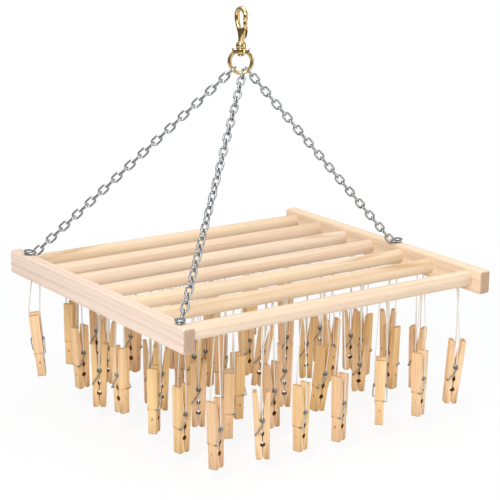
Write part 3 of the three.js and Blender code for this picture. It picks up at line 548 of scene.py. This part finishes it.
timber_shared = timber_group()
rail_wood = timber("rail timber", (0.87, 0.735, 0.62), (0.61, 0.39, 0.25), (0.29, 0.15, 0.07), 0.85)
dowel_wood = timber("dowel timber", (0.83, 0.675, 0.52), (0.60, 0.385, 0.22), (0.42, 0.24, 0.12), 0.85)
pin_wood = timber("pin timber", (0.92, 0.66, 0.375), (0.60, 0.35, 0.155), (0.40, 0.22, 0.10), 0.85)
brass = metal("polished brass", (0.76, 0.55, 0.255), (0.46, 0.29, 0.10), 0.19, 160.0, 0.5)
zinc = metal("zinc plate", (0.43, 0.455, 0.465), (0.17, 0.18, 0.185), 0.2, 240.0, 0.75)
steel = metal("spring wire", (0.36, 0.38, 0.39), (0.14, 0.14, 0.14), 0.26, 300.0, 0.75)
cotton = cotton_cord()


# Camera, floor and light


def camera():
    """The photograph's view, as three axes and a place in millimetres."""
    right, back = unit([0.81529, -0.57888, 0.01451]), unit([-0.56299, -0.78654, 0.25376])
    up = unit(np.cross(back, right))
    lens = bpy.data.cameras.new("view")
    lens.lens, lens.sensor_width, lens.clip_start, lens.clip_end = 118.9, 36.0, 0.05, 60.0
    thing = bpy.data.objects.new("view", lens)
    bpy.context.scene.collection.objects.link(thing)
    matrix = np.eye(4)
    matrix[:3, 0], matrix[:3, 1], matrix[:3, 2] = right, up, back
    matrix[:3, 3] = np.array([-1158.07, -1643.20, 227.67]) * MM
    thing.matrix_world = Matrix(matrix.tolist())
    bpy.context.scene.camera = thing


def lamp(name, place, aim, size, power):
    """A square soft light at a place in metres, facing a point."""
    light = bpy.data.lights.new(name, "AREA")
    light.shape, light.size, light.energy = "SQUARE", size, power
    thing = bpy.data.objects.new(name, light)
    bpy.context.scene.collection.objects.link(thing)
    back = unit(np.array(place) - np.array(aim))
    side = unit(np.cross((0.0, 0.0, 1.0) if abs(back[2]) < 0.98 else (0.0, 1.0, 0.0), back))
    matrix = np.eye(4)
    matrix[:3, 0], matrix[:3, 1], matrix[:3, 2], matrix[:3, 3] = side, np.cross(back, side), back, place
    thing.matrix_world = Matrix(matrix.tolist())


def studio():
    """Soft lamps, an even room, and a white floor that fades into the white room and keeps the shadow."""
    lamp("soft key", (-1.5, -1.3, 1.1), (0.0, 0.0, -0.36), 1.0, 33.0)
    lamp("soft top", (0.2, 0.1, 1.6), (0.0, 0.0, -0.36), 1.8, 21.0)
    lamp("soft fill", (1.5, -1.5, 0.1), (0.0, 0.0, -0.4), 1.4, 12.0)
    room = bpy.data.worlds.new("white room")
    bpy.context.scene.world = room
    room.use_nodes = True
    tree = room.node_tree
    tree.nodes.clear()
    path = add(tree, "ShaderNodeLightPath")
    lit = add(tree, "ShaderNodeBackground", {0: (1, 1, 1, 1), 1: 0.43})
    seen = add(tree, "ShaderNodeBackground", {0: (1, 1, 1, 1), 1: 1.0})
    # Polished metal reflects a room that is dark at the sides and pale above
    way = add(tree, "ShaderNodeSeparateXYZ", {0: add(tree, "ShaderNodeTexCoord").outputs["Generated"]})
    above = ramp(tree, way.outputs[2], 0.05, 0.6)
    sky = blend(tree, above, (0.13, 0.125, 0.12), (0.6, 0.61, 0.63))
    shiny = add(tree, "ShaderNodeBackground", {0: sky})
    reflected, direct = path.outputs["Is Glossy Ray"], path.outputs["Is Camera Ray"]
    first = add(tree, "ShaderNodeMixShader", {0: reflected, 1: lit.outputs[0], 2: shiny.outputs[0]})
    both = add(tree, "ShaderNodeMixShader", {0: direct, 1: first.outputs[0], 2: seen.outputs[0]})
    tree.links.new(both.outputs[0], add(tree, "ShaderNodeOutputWorld").inputs[0])

    size, level = 1.6, solid_box[0][2] - 0.012
    mesh = bpy.data.meshes.new("floor")
    corners = [(x * size, y * size, level) for x, y in ((-1, -1), (1, -1), (1, 1), (-1, 1))]
    mesh.from_pydata(corners, [], [(0, 1, 2, 3)])
    made, tree, shader = started("white floor")
    shader.inputs["Base Color"].default_value = (0.86, 0.88, 0.9, 1)
    shader.inputs["Roughness"].default_value = 0.9
    shader.inputs["Specular IOR Level"].default_value = 0.0
    place = add(tree, "ShaderNodeTexCoord").outputs["Object"]
    parts = add(tree, "ShaderNodeSeparateXYZ", {0: place})
    flat = add(tree, "ShaderNodeCombineXYZ", {0: parts.outputs[0], 1: parts.outputs[1]}).outputs[0]
    reach = add(tree, "ShaderNodeVectorMath", {0: flat}, operation="LENGTH").outputs["Value"]
    shown = maths(tree, "SUBTRACT", 1.0, ramp(tree, reach, 0.45, 1.1))
    direct = add(tree, "ShaderNodeLightPath").outputs["Is Camera Ray"]
    # To the camera the floor is mostly plain white, so its shadow stays as faint as in the photograph
    plain = maths(tree, "SUBTRACT", 1.0, maths(tree, "MULTIPLY", shown, 0.16))
    pale = maths(tree, "MULTIPLY", direct, plain)
    white = add(tree, "ShaderNodeEmission", {0: (1, 1, 1, 1), 1: 1.0})
    both = add(tree, "ShaderNodeMixShader", {0: pale, 1: shader.outputs[0], 2: white.outputs[0]})
    tree.links.new(both.outputs[0], tree.nodes["Material Output"].inputs[0])
    mesh.materials.append(made)
    floor = bpy.data.objects.new("floor", mesh)
    bpy.context.scene.collection.objects.link(floor)
    bpy.context.scene.view_settings.view_transform = "Standard"


camera()


# Strings


def pin_body(row, pin):
    """The body that a pin hangs on: its own for the end rows and for the first pin of each row."""
    return f"pin_{row}_{pin}" if row in (1, 7) or pin == 1 else "rack"


def pin_frames():
    """Each pin's row, number, turn matrix and middle, and the matching place along its dowel."""
    made = []
    for r, (share, pins) in enumerate(ROWS, 1):
        along = row_along(share)
        for k, (place, turn, lean, tip, string) in enumerate(pins, 1):
            x = place * (DOWEL_SPAN / 2 - PIN_MARGIN)
            matrix = spin("z", turn) @ spin("y", tip) @ spin("x", lean)
            made.append((r, k, matrix, np.array([x, along, UNDERSIDE - string * STRING_DROP])))
    return made


def string_path(matrix, middle):
    """Down from the dowel past the handles' side, behind the wire's end turn into the coil, and up the
    other side, in millimetres."""
    over = math.hypot(HANDLE_REACH, HANDLE_SPREAD / 2) + GAP
    side = np.array([[STRAND_REACH + 0.2, 0, over], [STRAND_REACH, 0, 2.2], [STRAND_REACH - 0.8, 0, 0.2]])
    local = np.concatenate([side * (-1, 1, 1), side[::-1]])
    apart = matrix[:, 0] * (STRING_SPACING / 2, STRING_STAGGER / 2, 0)
    tops = np.array([middle - apart, middle + apart])
    tops[:, 2] = -DOWEL_DEPTH - DOWEL_RADIUS + 0.4
    beside = local @ matrix.T + middle
    return softened(np.concatenate([tops[:1], beside, tops[1:]]), [0, 6, 0.7, 0.35, 0.35, 0.7, 6, 0], 5)


def strings(frames):
    """A cotton loop for every pin. The longest are declared as cords, as many as may be declared."""
    paths = [string_path(matrix, middle) for _, _, matrix, middle in frames]
    runs = [np.concatenate([[0], np.cumsum(np.linalg.norm(np.diff(p, axis=0), axis=1))]) for p in paths]
    sides = 10
    for (r, k, matrix, _), path, run in zip(frames, paths, runs):
        shell = tube(path, STRING_RADIUS, sides, matrix[:, 1])
        wind = np.zeros((len(shell[0]), 3))
        wind[:, 0] = np.tile(np.abs(np.linspace(-1, 1, sides, endpoint=False)) / 2, len(path))
        wind[:, 1] = np.repeat(run, sides)
        hides = [f"pin_{r}_{k}_string"] if r == 7 else []
        thing = piece(f"string_{r}_{k}", shell, cotton, pin_body(r, k), "cotton", hides, 40.0, wind=wind)


frames = pin_frames()
strings(frames)
studio()


# Rails and dowels


def whole_piece(count, tone, tint):
    """Timber fields with one tone and one tint all over a piece."""
    return {"tone": np.full(count, tone), "tint": np.tile(tint, (count, 1))}


def rails():
    """Two boards with rounded corners and edges, darker end grain at both ends."""
    corners = np.array([[-0.5, -1], [0.5, -1], [0.5, 0], [-0.5, 0]]) * (RAIL_LENGTH, RAIL_HEIGHT)
    outline = softened(corners, RAIL_CORNER, 8, closed=True)
    half = RAIL_THICKNESS / 2
    left, right = (-1, 0.04, (1.03, 0.985, 0.975)), (1, -0.06, (1.05, 0.97, 0.84))
    for name, (side, tone, tint) in (("left", left), ("right", right)):
        points, faces = board(outline, -half, half, RAIL_EDGE, 5)
        points = points[:, [2, 0, 1]]
        butt = np.clip((np.abs(points[:, 1]) - RAIL_LENGTH / 2 + 1.8) / 1.4, 0, 1)
        grain = points[:, [1, 0, 2]] + (900.0 * side, 36.0 + 9 * side, 35.0)
        fields = whole_piece(len(points), tone, tint) | {"grain": grain, "butt": butt}
        shell = points + (side * RAIL_MIDDLE, 0, 0), outward(points, faces)
        piece(f"rail_board_{name}", shell, rail_wood, "rack", "rail_wood", [f"rail_{name}"], **fields)


def dowels():
    """Round rods between the rails, each of its own tone and tint, some with a brown streak near an end."""
    tones = [0.14, 0.08, 0.06, 0.1, 0.12, 0.1, 0.04]
    pink, plain, gold = (1.01, 0.97, 0.95), (1.0, 1.0, 1.0), (1.0, 0.97, 0.89)
    tints = [gold, pink, plain, pink, gold, gold, plain]
    # Middle of the streak along the rod, and its slant in radians of turn for each millimetre
    streaks = {1: (-150, 0.012), 3: (165, -0.012), 5: (150, 0.01), 6: (158, -0.009)}
    streak_depth, streak_length, streak_width = 0.75, 32, 0.33
    # The two rods at the front look thicker in the photo; they grow upwards, away from the strings
    thicker = {6: 0.4, 7: 1.0}
    half = DOWEL_SPAN / 2 + 1.0
    for r, (share, _) in enumerate(ROWS, 1):
        along = row_along(share)
        growth = thicker.get(r, 0.0)
        path = np.array([[x, along, growth - DOWEL_DEPTH] for x in np.linspace(-half, half, 61)])
        shell = tube(path, DOWEL_RADIUS + growth, 48, (0, 0, 1))
        local = shell[0] - (0, along, -DOWEL_DEPTH)
        fields = whole_piece(len(local), tones[r - 1], tints[r - 1])
        fields["grain"] = local + (700.0 * r, 24.0 + 4 * r, 13.0 * (r % 3))
        if r in streaks:
            middle, slant = streaks[r]
            x, across, up = local.T
            aside = np.arctan2(across, up) + 0.5 - slant * (x - middle)
            fade = ((x - middle) / streak_length) ** 2 + (aside / streak_width) ** 2
            fields["tone"] += streak_depth * np.exp(-fade)
        piece(f"dowel_rod_{r}", shell, dowel_wood, "rack", "dowel_wood", [f"dowel_{r}"], **fields)


rails()
dowels()


# Clothespins


def outer_face(height):
    """How far a leg's outer face lies from the middle of the pin at a height."""
    return JAW_THICK + (HANDLE_SPREAD / 2 - JAW_THICK) * (height + JAW_REACH) / (HANDLE_REACH + JAW_REACH)


def leg_outline():
    """Side view of the leg on +Y: notched jaw, spring groove, handle, coil seat, diamond and line hole.
    Also the number of points, at its end, that lie in the diamond and the line hole."""
    inner, seat = GAP / 2, COIL_RADIUS + SPRING_WIRE / 2 + GAP
    groove = outer_face(GROOVE_LEVEL) - SPRING_WIRE / 4
    lip = math.degrees(math.acos(inner / HOLE_RADIUS))
    ends = np.array(
        [
            [inner, JAW_NOTCH - JAW_REACH],
            [JAW_NOTCH, -JAW_REACH],
            [JAW_THICK, -JAW_REACH],
            [outer_face(GROOVE_LEVEL - 1.1), GROOVE_LEVEL - 1.1],
            [outer_face(GROOVE_LEVEL + 1.1), GROOVE_LEVEL + 1.1],
            [HANDLE_SPREAD / 2, HANDLE_REACH],
            [HANDLE_SPREAD / 2 - HANDLE_THICK, HANDLE_REACH],
        ]
    )
    jaw = softened(np.vstack([ends[:3], ends[3]]), [0, 0.8, TIP_ROUND, 0], 5)
    handle = softened(np.vstack([ends[4:], [[1.3, 4.0]]]), [0, 1.6, 1.1, 0], 5)[:-1]
    hollow = arc((groove, GROOVE_LEVEL), SPRING_WIRE / 2 + GAP, -75, -285, 8)
    coil = arc((0, 0), seat, math.degrees(math.acos(1 / 3)), -math.degrees(math.acos(inner / seat)), 12)
    diamond = np.array([[0, 0.5], [DIAMOND_DEPTH / DIAMOND_HEIGHT, 0], [0, -0.5]]) * DIAMOND_HEIGHT
    hole = arc((0, HOLE_LEVEL), HOLE_RADIUS, lip, -lip, 11)
    outline = np.vstack([jaw, hollow, handle, coil, diamond + (inner, DIAMOND_LEVEL), hole])
    return outline, len(diamond) + len(hole)


def spring_path():
    """Hook across one leg's groove, arm up the pin's side, turns of the coil, and the same to the other
    leg. Also the number of points before the coil starts."""
    y, z = outer_face(GROOVE_LEVEL) - SPRING_WIRE / 4, GROOVE_LEVEL
    bearing, swing = math.atan2(z, y), math.acos(COIL_RADIUS / math.hypot(y, z))
    start = bearing - swing
    finish = -math.pi - bearing + swing - 2 * math.pi * SPRING_TURNS
    share = np.linspace(0, 1, 14 * SPRING_TURNS)
    angle = start + (finish - start) * share
    x = SPRING_REACH * (2 * share - 1)
    coil = np.stack([x, COIL_RADIUS * np.cos(angle), COIL_RADIUS * np.sin(angle)], 1)
    arm = np.array([[SPRING_HOOK - SPRING_REACH, y, z], [-SPRING_REACH, y, z], coil[0]])
    arm = softened(arm, 0.9, 5)[:-1]
    return np.vstack([arm, coil, (arm * (-1, -1, 1))[::-1]]), len(arm)


def clothespins(frames):
    """Two sprung legs to each pin. A front pin's free leg and its spring arm move with that leg's body."""
    outline, hollows = leg_outline()
    points, faces = board(outline, -PIN_WIDTH / 2, PIN_WIDTH / 2, 0.5, 2)
    free = points[:, [2, 0, 1]]
    free[:, 0] *= np.interp(free[:, 2], [GROOVE_LEVEL - 1.2, GROOVE_LEVEL + 1.2], [JAW_SLIM, 1.0])
    # End grain shows on the tips of the jaws and of the handles
    butt = np.clip((np.abs(free[:, 2] + 6.75) - 40.4) / 0.7, 0, 1)
    rings = len(points) // len(outline)
    # Painted shade: the insides of the diamond and the line hole are marked for the dark shade colour
    pit = np.zeros((rings, len(outline)))
    pit[2 : rings - 2, -hollows:] = 1.0
    marks = {"butt": butt, "pit": pit.ravel()}
    # Painted shade of a small dent on each leg's outer face at the line hole's level: the place inside the
    # oval, and whether the point is on the outer face
    outside = free[:, 1] > outer_face(free[:, 2]) - 0.1
    dimple = np.stack([free[:, 0] / DENT_ACROSS, (free[:, 2] - HOLE_LEVEL) / DENT_ALONG, outside], 1)
    faces = outward(free, faces)
    held = free * (-1, -1, 1)
    path, first = spring_path()
    reference = (0.6, 0.64, 0.48)
    whole = tube(path, SPRING_WIRE / 2, 8, reference)
    coil = tube(path[first:], SPRING_WIRE / 2, 8, reference)
    tail = 2
    arm = tube(path[: first + tail], [SPRING_WIRE / 2] * first + [0.6] * tail, 8, reference)
    pink, gold = np.array([1.02, 1.0, 1.1]), np.array([0.99, 0.95, 0.8])
    for r, k, matrix, middle in frames:
        name, body = f"pin_{r}_{k}", pin_body(r, k)
        shade, heart = chance.uniform(-0.12, 0.27), chance.uniform(-30, 30, 6)
        tint = pink + (gold - pink) * chance.uniform(0, 1)
        legs = []
        for leg, local, offset in (("leg_free", free, heart[:3]), ("leg_held", held, heart[3:])):
            fields = whole_piece(len(local), shade + chance.uniform(-0.08, 0.08), tint)
            fields["grain"] = local[:, [2, 0, 1]] + offset * (20, 1, 1) + (0, 34, 0)
            # How dark this leg's painted dent shade is
            fields["dimple"] = dimple * (1, 1, chance.choice([0.3, 0.5, 0.9]))
            legs.append((leg, placed((local, faces), matrix, middle), fields | marks))
        if r == 7:
            for leg, shell, fields in legs:
                owner = f"{name}_free" if leg == "leg_free" else name
                piece(f"{name}_wood_{leg}", shell, pin_wood, owner, "pin_wood", [f"{name}_{leg}"], **fields)
            hides = [f"{name}_spring"]
            piece(f"{name}_coil", placed(coil, matrix, middle), steel, body, "spring_steel", hides, 50.0)
            shell = placed(arm, matrix, middle)
            piece(f"{name}_arm", shell, steel, f"{name}_free", "spring_steel", (), 50.0)
            continue
        shell = together(*[shell for _, shell, _ in legs])
        fields = {key: np.concatenate([fields[key] for _, _, fields in legs]) for key in legs[0][2]}
        hides = [] if body == "rack" else [name]
        piece(f"{name}_wood", shell, pin_wood, body, "pin_wood", hides, **fields)
        piece(f"{name}_coil", placed(whole, matrix, middle), steel, body, "spring_steel", (), 50.0)


clothespins(frames)


# Chains and screws


def snap_frame(turn):
    """Turn matrix and place of the snap's own axis, in millimetres from the middle of the rack."""
    return spin("z", turn), HANG - (0, 0, HOOK_TOP)


def link(inner):
    """A link of round wire whose path has straight sides and half-round ends."""
    half = (LINK_INNER_WIDTH + LINK_WIRE) / 2
    end = inner / 2 + LINK_WIRE / 2 - half
    path = np.vstack([arc((end, 0), half, -90, 90, 9), arc((-end, 0), half, 90, 270, 9)])
    return tube(np.column_stack([path, np.zeros(len(path))]), LINK_ROUND, 12, (0, 0, 1), looped=True)


def chain(name, side, dowel, behind, ring_angle, lower_twist):
    """Links in a straight row from the ring down to the end link under the screw. The twist makes all the
    links of the lower half show aslant. Gives the place of the screw's head."""
    along = row_along(ROWS[dowel - 1][0]) + behind
    corner = 1 / math.cos(math.pi / 6)
    end_bar = LINK_WIRE / 2 * corner
    rise = math.tan(math.radians(END_TILT))
    screw = np.array([side * RAIL_MIDDLE, along, 0.0])
    inward = unit((HANG - screw) * (1, 1, 0))
    heading = unit(inward + (0, 0, rise))
    shank = (SHANK_RADIUS + GAP) * corner
    level = GAP + LINK_WIRE / 2 + (shank + 2 * end_bar) * rise
    inner = LINK_PITCH - LINK_BITE
    end_middle = screw + (0, 0, level) + heading * (inner / 2 - shank)
    start = end_middle + heading * (inner / 2 + end_bar)

    matrix, place = snap_frame(RING_TURN)
    a = math.radians(ring_angle)
    tangent = matrix @ (math.cos(a), 0, math.sin(a))
    finish = matrix @ (RING_RADIUS * math.sin(a), 0, RING_MIDDLE - RING_RADIUS * math.cos(a)) + place
    foot = end_bar * math.sqrt(0.5) - LINK_BITE
    seat = (RING_WIRE / 2 + GAP) * corner
    span = np.linalg.norm(finish - start) + foot + seat + LINK_BITE
    climb = unit(finish - start)
    flat = unit(np.cross(climb, (0, 0, 1)))
    askew = math.atan2(np.cross(flat, tangent) @ climb, flat @ tangent)
    near = round(span / LINK_PITCH)
    other = near + 1 if span / LINK_PITCH > near else near - 1
    count = min((near, other), key=lambda n: abs(math.sin(askew + (n - 1) * math.pi / 2)))
    pitch = span / count

    across = unit(np.cross(tangent, -climb))
    basis = np.column_stack([-climb, across, np.cross(-climb, across)])
    one = link(pitch - 0.05)
    shells = []
    for i in range(count):
        middle = finish + basis @ ((pitch - LINK_BITE) / 2 - seat + i * pitch, 0, 0)
        twist = np.interp(i / (count - 1), (0.3, 0.5, 0.85, 1.0), (0.0, lower_twist, lower_twist, 0.0))
        shells.append(placed(one, basis @ spin("x", 90 * (i % 2) + twist), middle))
    normal = np.cross(np.cross(heading, (0, 0, 1)), heading)
    beside = unit(np.cross(normal, heading))
    basis = np.column_stack([heading, beside, np.cross(heading, beside)])
    shells.append(placed(link(inner + 0.2), basis, end_middle))
    piece(f"chain_links_{name}", together(*shells), zinc, "rack", "zinc", [f"chain_{name}"], 60.0)
    return screw + (0, 0, level + HEAD_RADIUS * rise + LINK_WIRE / 2 + GAP)


def screw_head(name, seat):
    """A pan head with a cross recess: a round field of heights, the dome less a cross-shaped pit."""
    rings = np.concatenate([np.linspace(0.04, 0.62, 14), np.linspace(0.68, 1.0, 7)])
    sides = 72
    angle = np.linspace(0, 2 * math.pi, sides, endpoint=False)
    r = rings[:, None] * HEAD_RADIUS
    x, y = r * np.cos(angle), r * np.sin(angle)
    dome = HEAD_LOOK * np.sqrt(np.clip(1 - (rings / 1.02) ** 4, 0, 1))[:, None] * np.ones(sides)
    bar = np.minimum(np.abs(x), np.abs(y))
    reach = np.maximum(np.abs(x), np.abs(y))
    pit = np.clip((0.85 - bar) / 0.35, 0, 1) * np.clip((3.5 - reach) / 0.5, 0, 1)
    top = np.stack([x, y, dome - HEAD_PIT * pit], -1)
    rim = np.stack([HEAD_RADIUS * np.cos(angle), HEAD_RADIUS * np.sin(angle), 0 * angle], -1)
    neck = rim * (SHANK_RADIUS / HEAD_RADIUS, SHANK_RADIUS / HEAD_RADIUS, 1)
    rows = [*top, rim, neck, neck - (0, 0, SHANK_LENGTH)]
    shell = pointed(rows, (0, 0, HEAD_LOOK - HEAD_PIT), (0, 0, -SHANK_LENGTH))
    shell = placed(shell, spin("z", HEAD_TURN), seat)
    piece(f"chain_screw_{name}", shell, zinc, "rack", "zinc", [f"screw_{name}"], 30.0)


for name, facts in CHAINS.items():
    screw_head(name, chain(name, *facts))


# Swivel snap


def flat_path(points):
    """Points in the plane of the hook, X and Z, as points in space."""
    points = np.asarray(points, float)
    return np.stack([points[:, 0], np.zeros(len(points)), points[:, 1]], 1)


def blade():
    """The lower body: flat ovals stacked from the stem to the fork, between a right and a left edge that
    are drawn as curves; the higher ovals bend up at both ends, and a saddle closes the last one."""
    level = np.linspace(3.5, 23.5, 15)
    edges = []
    for points in (
        ((3.5, 3.5), (3.2, 13), (9.4, 13), (10.2, 23.5)),
        ((-3.5, 3.5), (-3.2, 15), (-5.4, 17), (-8.4, 23.5)),
    ):
        edge = curve(*points, 40)
        edges.append(np.interp(level, edge[:, 1], edge[:, 0]))
    right, left = edges
    deep = np.interp(level, [3.5, 23.5], [3.5, 3.0])
    lift = (np.clip(level - 11, 0, None) / 12.5) ** 1.5
    turn = np.linspace(0, 2 * math.pi, 40, endpoint=False)
    rise = np.where(np.cos(turn) > 0, 1.8, 4.5) * np.cos(turn) ** 2
    rings = []
    for low, high, half, z, up in zip(left, right, deep, level, lift):
        x = (low + high) / 2 + (high - low) / 2 * np.cos(turn)
        rings.append(np.stack([x, half * np.sin(turn), z + up * rise], 1))
    heart, rim = np.array([(left[-1] + right[-1]) / 2, 0, level[-1]]), rings[-1]
    for share in (0.94, 0.8, 0.55, 0.25):
        rings.append(heart + (rim - heart) * (share, share, share**2))
    return stacked(rings)


def barrel(low):
    """The bolt's sleeve: a ring with a slot in it, stacked upwards while its radius grows to the rim."""
    level = low + np.array([-3.2, -2.4, -1, 1, 3, 5, 7])
    level = np.append(level, [BARREL_TOP - 0.3, BARREL_TOP])
    share = np.array([0.28, 0.45, 0.62, 0.76, 0.86, 0.94, 0.98, 1.0, 0.95])
    rings = []
    for z, part in zip(level, share):
        skin, bore = BARREL_LOOK * part, (BOLT_LOOK + GAP) * min(part, 0.98)
        slot = (math.asin(min(0.96, (STUD_RADIUS + GAP) / r)) for r in (skin, bore))
        outer, inside = (math.degrees(a) for a in slot)
        around = arc((0, 0), skin, outer, 360 - outer, 34)
        back = arc((0, 0), bore, 360 - inside, inside, 20)
        ring = np.vstack([around, back])
        rings.append(np.column_stack([BARREL_MIDDLE + ring[:, 0], ring[:, 1], np.full(len(ring), z)]))
    return stacked(rings)


def hook():
    """The casting: a bar that rounds the eye and ends at the nose, the body below it with the slotted
    barrel of the bolt, and the bell collar over the riveted swivel post."""
    bend = HOOK_INNER + HOOK_THICK / 2
    nose = BARREL_TOP + THROAT
    low = STUD_HEIGHT - BOLT_TRAVEL - STUD_RADIUS - GAP
    back = curve((-3.0, 13), (-3.4, 25), (-bend, 28), (-bend, HOOK_EYE), 22)
    over = arc((0, HOOK_EYE), bend, 180, 0, 26)
    end = BARREL_MIDDLE
    drop = curve((bend, HOOK_EYE), (bend, HOOK_EYE - 2), (end, nose + 2), (end, nose), 8)
    path = np.vstack([back, over[1:], drop[1:]])
    t = np.linspace(0, 1, len(path))
    radius = np.interp(t, [0, 0.16, 0.4, 0.6, 0.85, 0.97, 1.0], [2.0, 2.8, 3.1, 3.1, 2.9, 2.7, 2.4])
    shells = [tube(flat_path(path), radius, 24, (0, 1, 0), flat=0.88), blade(), barrel(low)]

    rivet_top = BOSS_TOP - YOKE_HEIGHT - GAP
    rivet = rivet_top - RIVET_HEIGHT
    lip, neck = (COLLAR_RADIUS - 0.1, 1.6), (STEM_RADIUS - 0.3, COLLAR_HEIGHT + 0.8)
    bell = curve(lip, (COLLAR_RADIUS, 5.0), (STEM_RADIUS + 1.2, 6.4), neck, 12)
    profile = np.vstack(
        [
            [(0, rivet), (RIVET_RADIUS * 0.6, rivet + 0.15)],
            arc((RIVET_RADIUS - 1.2, rivet_top - 1.2), 1.2, -60, 90, 7),
            [(POST_RADIUS, rivet_top), (POST_RADIUS, 0), (COLLAR_RADIUS - 0.4, 0)],
            arc((COLLAR_RADIUS - 0.5, 0.6), 0.5, -60, 60, 5),
            [(COLLAR_RADIUS - 0.35, 1.2)],
            bell,
            [(0, COLLAR_HEIGHT + 0.8)],
        ]
    )
    shells.append(turned(profile, 48))
    matrix, place = snap_frame(HOOK_TURN)
    shell = placed(together(*shells), matrix, place)
    piece("snap_casting", shell, brass, "snap", "brass", ["snap_hook"], 38.0)
    bolt_spring(low - 1.4, BOLT_BOTTOM - GAP)


def bolt_spring(bottom, top):
    """The coil under the bolt, narrower at its foot. On the real snap the bolt presses it together as
    it slides; here it is drawn at rest and stays rigid.
    """
    share = np.linspace(0, 1, 60)
    angle, radius = 2 * math.pi * 4 * share, 0.7 + 0.4 * share
    height = bottom + 0.4 + (top - bottom - 0.8) * share
    path = np.stack([BARREL_MIDDLE + radius * np.cos(angle), radius * np.sin(angle), height], 1)
    matrix, place = snap_frame(HOOK_TURN)
    shell = placed(tube(path, 0.3, 8, (0, 0, 1)), matrix, place)
    thing = piece("snap_bolt_spring", shell, steel, "snap", "spring_steel", ["snap_spring"], 50.0)
    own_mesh(thing)


def bolt():
    """A round rod that tapers downwards, with a domed end, and the thumb stud that slides it."""
    low = BOLT_BOTTOM
    profile = np.vstack(
        [
            [(0, low), (0.9, low), (1.3, low + 0.6), (BOLT_LOOK, low + 6.5)],
            arc((BOLT_LOOK - 0.6, BOLT_TOP - 0.6), 0.6, 0, 80, 5),
            [(0, BOLT_TOP)],
        ]
    )
    rod = turned(profile, 32)
    reach, neck = BARREL_RADIUS + STUD_REACH, STUD_RADIUS * 0.8
    profile = np.vstack(
        [
            [(0, 0), (neck, 0), (neck, reach - 2.2), (STUD_RADIUS, reach - 1.8)],
            arc((STUD_RADIUS - 0.7, reach - 0.7), 0.7, 0, 80, 5),
            [(0, reach)],
        ]
    )
    stud = placed(turned(profile, 24), spin("y", 90), (0, 0, STUD_HEIGHT))
    matrix, place = snap_frame(HOOK_TURN)
    middle = placed(together(rod, stud), np.eye(3), (BARREL_MIDDLE, 0, 0))
    piece("snap_thumb_bolt", placed(middle, matrix, place), brass, "bolt", "brass", ["snap_bolt"], 38.0)


def ring():
    """The round that the chains hang on, its boss with the hole for the post, and on either side of the
    boss a flat bar that ends in a pointed ear."""
    a = np.linspace(0, 2 * math.pi, 72, endpoint=False)
    circle = np.stack([RING_RADIUS * np.sin(a), 0 * a, RING_MIDDLE + RING_RADIUS * np.cos(a)], 1)
    bottom, hole = BOSS_TOP - YOKE_HEIGHT, POST_RADIUS + GAP
    t = np.linspace(0, 2 * math.pi, 24, endpoint=False)
    half, middle = (BOSS_RADIUS - hole) / 2, (BOSS_TOP + bottom) / 2
    swing, rise = (np.sign(w) * np.abs(w) ** 0.6 for w in (np.cos(t), np.sin(t)))
    wide, high = hole + half * (1 + swing), middle + YOKE_HEIGHT / 2 * rise
    turn = np.linspace(0, 2 * math.pi, 48, endpoint=False)[:, None]
    boss = np.stack([wide * np.cos(turn), wide * np.sin(turn), high + 0 * turn], -1).reshape(-1, 3)
    round_bar = tube(circle, RING_WIRE / 2, 22, (0, 1, 0), looped=True)
    shells = [round_bar, (boss, outward(boss, wall(len(turn), len(t), looped=True)))]
    tip, top, foot, root = BOSS_TOP - 0.2, BOSS_TOP - 1.2, bottom + 0.3, hole + 0.5
    crown = curve((EAR_REACH, tip), (EAR_REACH - 2, tip - 2), (7, top), (root, top), 8)
    ear = np.vstack([[(root, foot), (9.4, foot), (10.4, foot + 2.2)], crown])
    shape = board(ear, -EAR_DEPTH / 2, EAR_DEPTH / 2, 0.5)
    for side in (-1, 1):
        points = shape[0][:, [0, 2, 1]] * (side, 1, 1)
        shells.append((points, outward(points, shape[1])))
    matrix, place = snap_frame(RING_TURN)
    shell = placed(together(*shells), matrix, place)
    piece("snap_swivel_ring", shell, brass, "ring", "brass", ["snap_ring"], 38.0)


hook()
bolt()
ring()
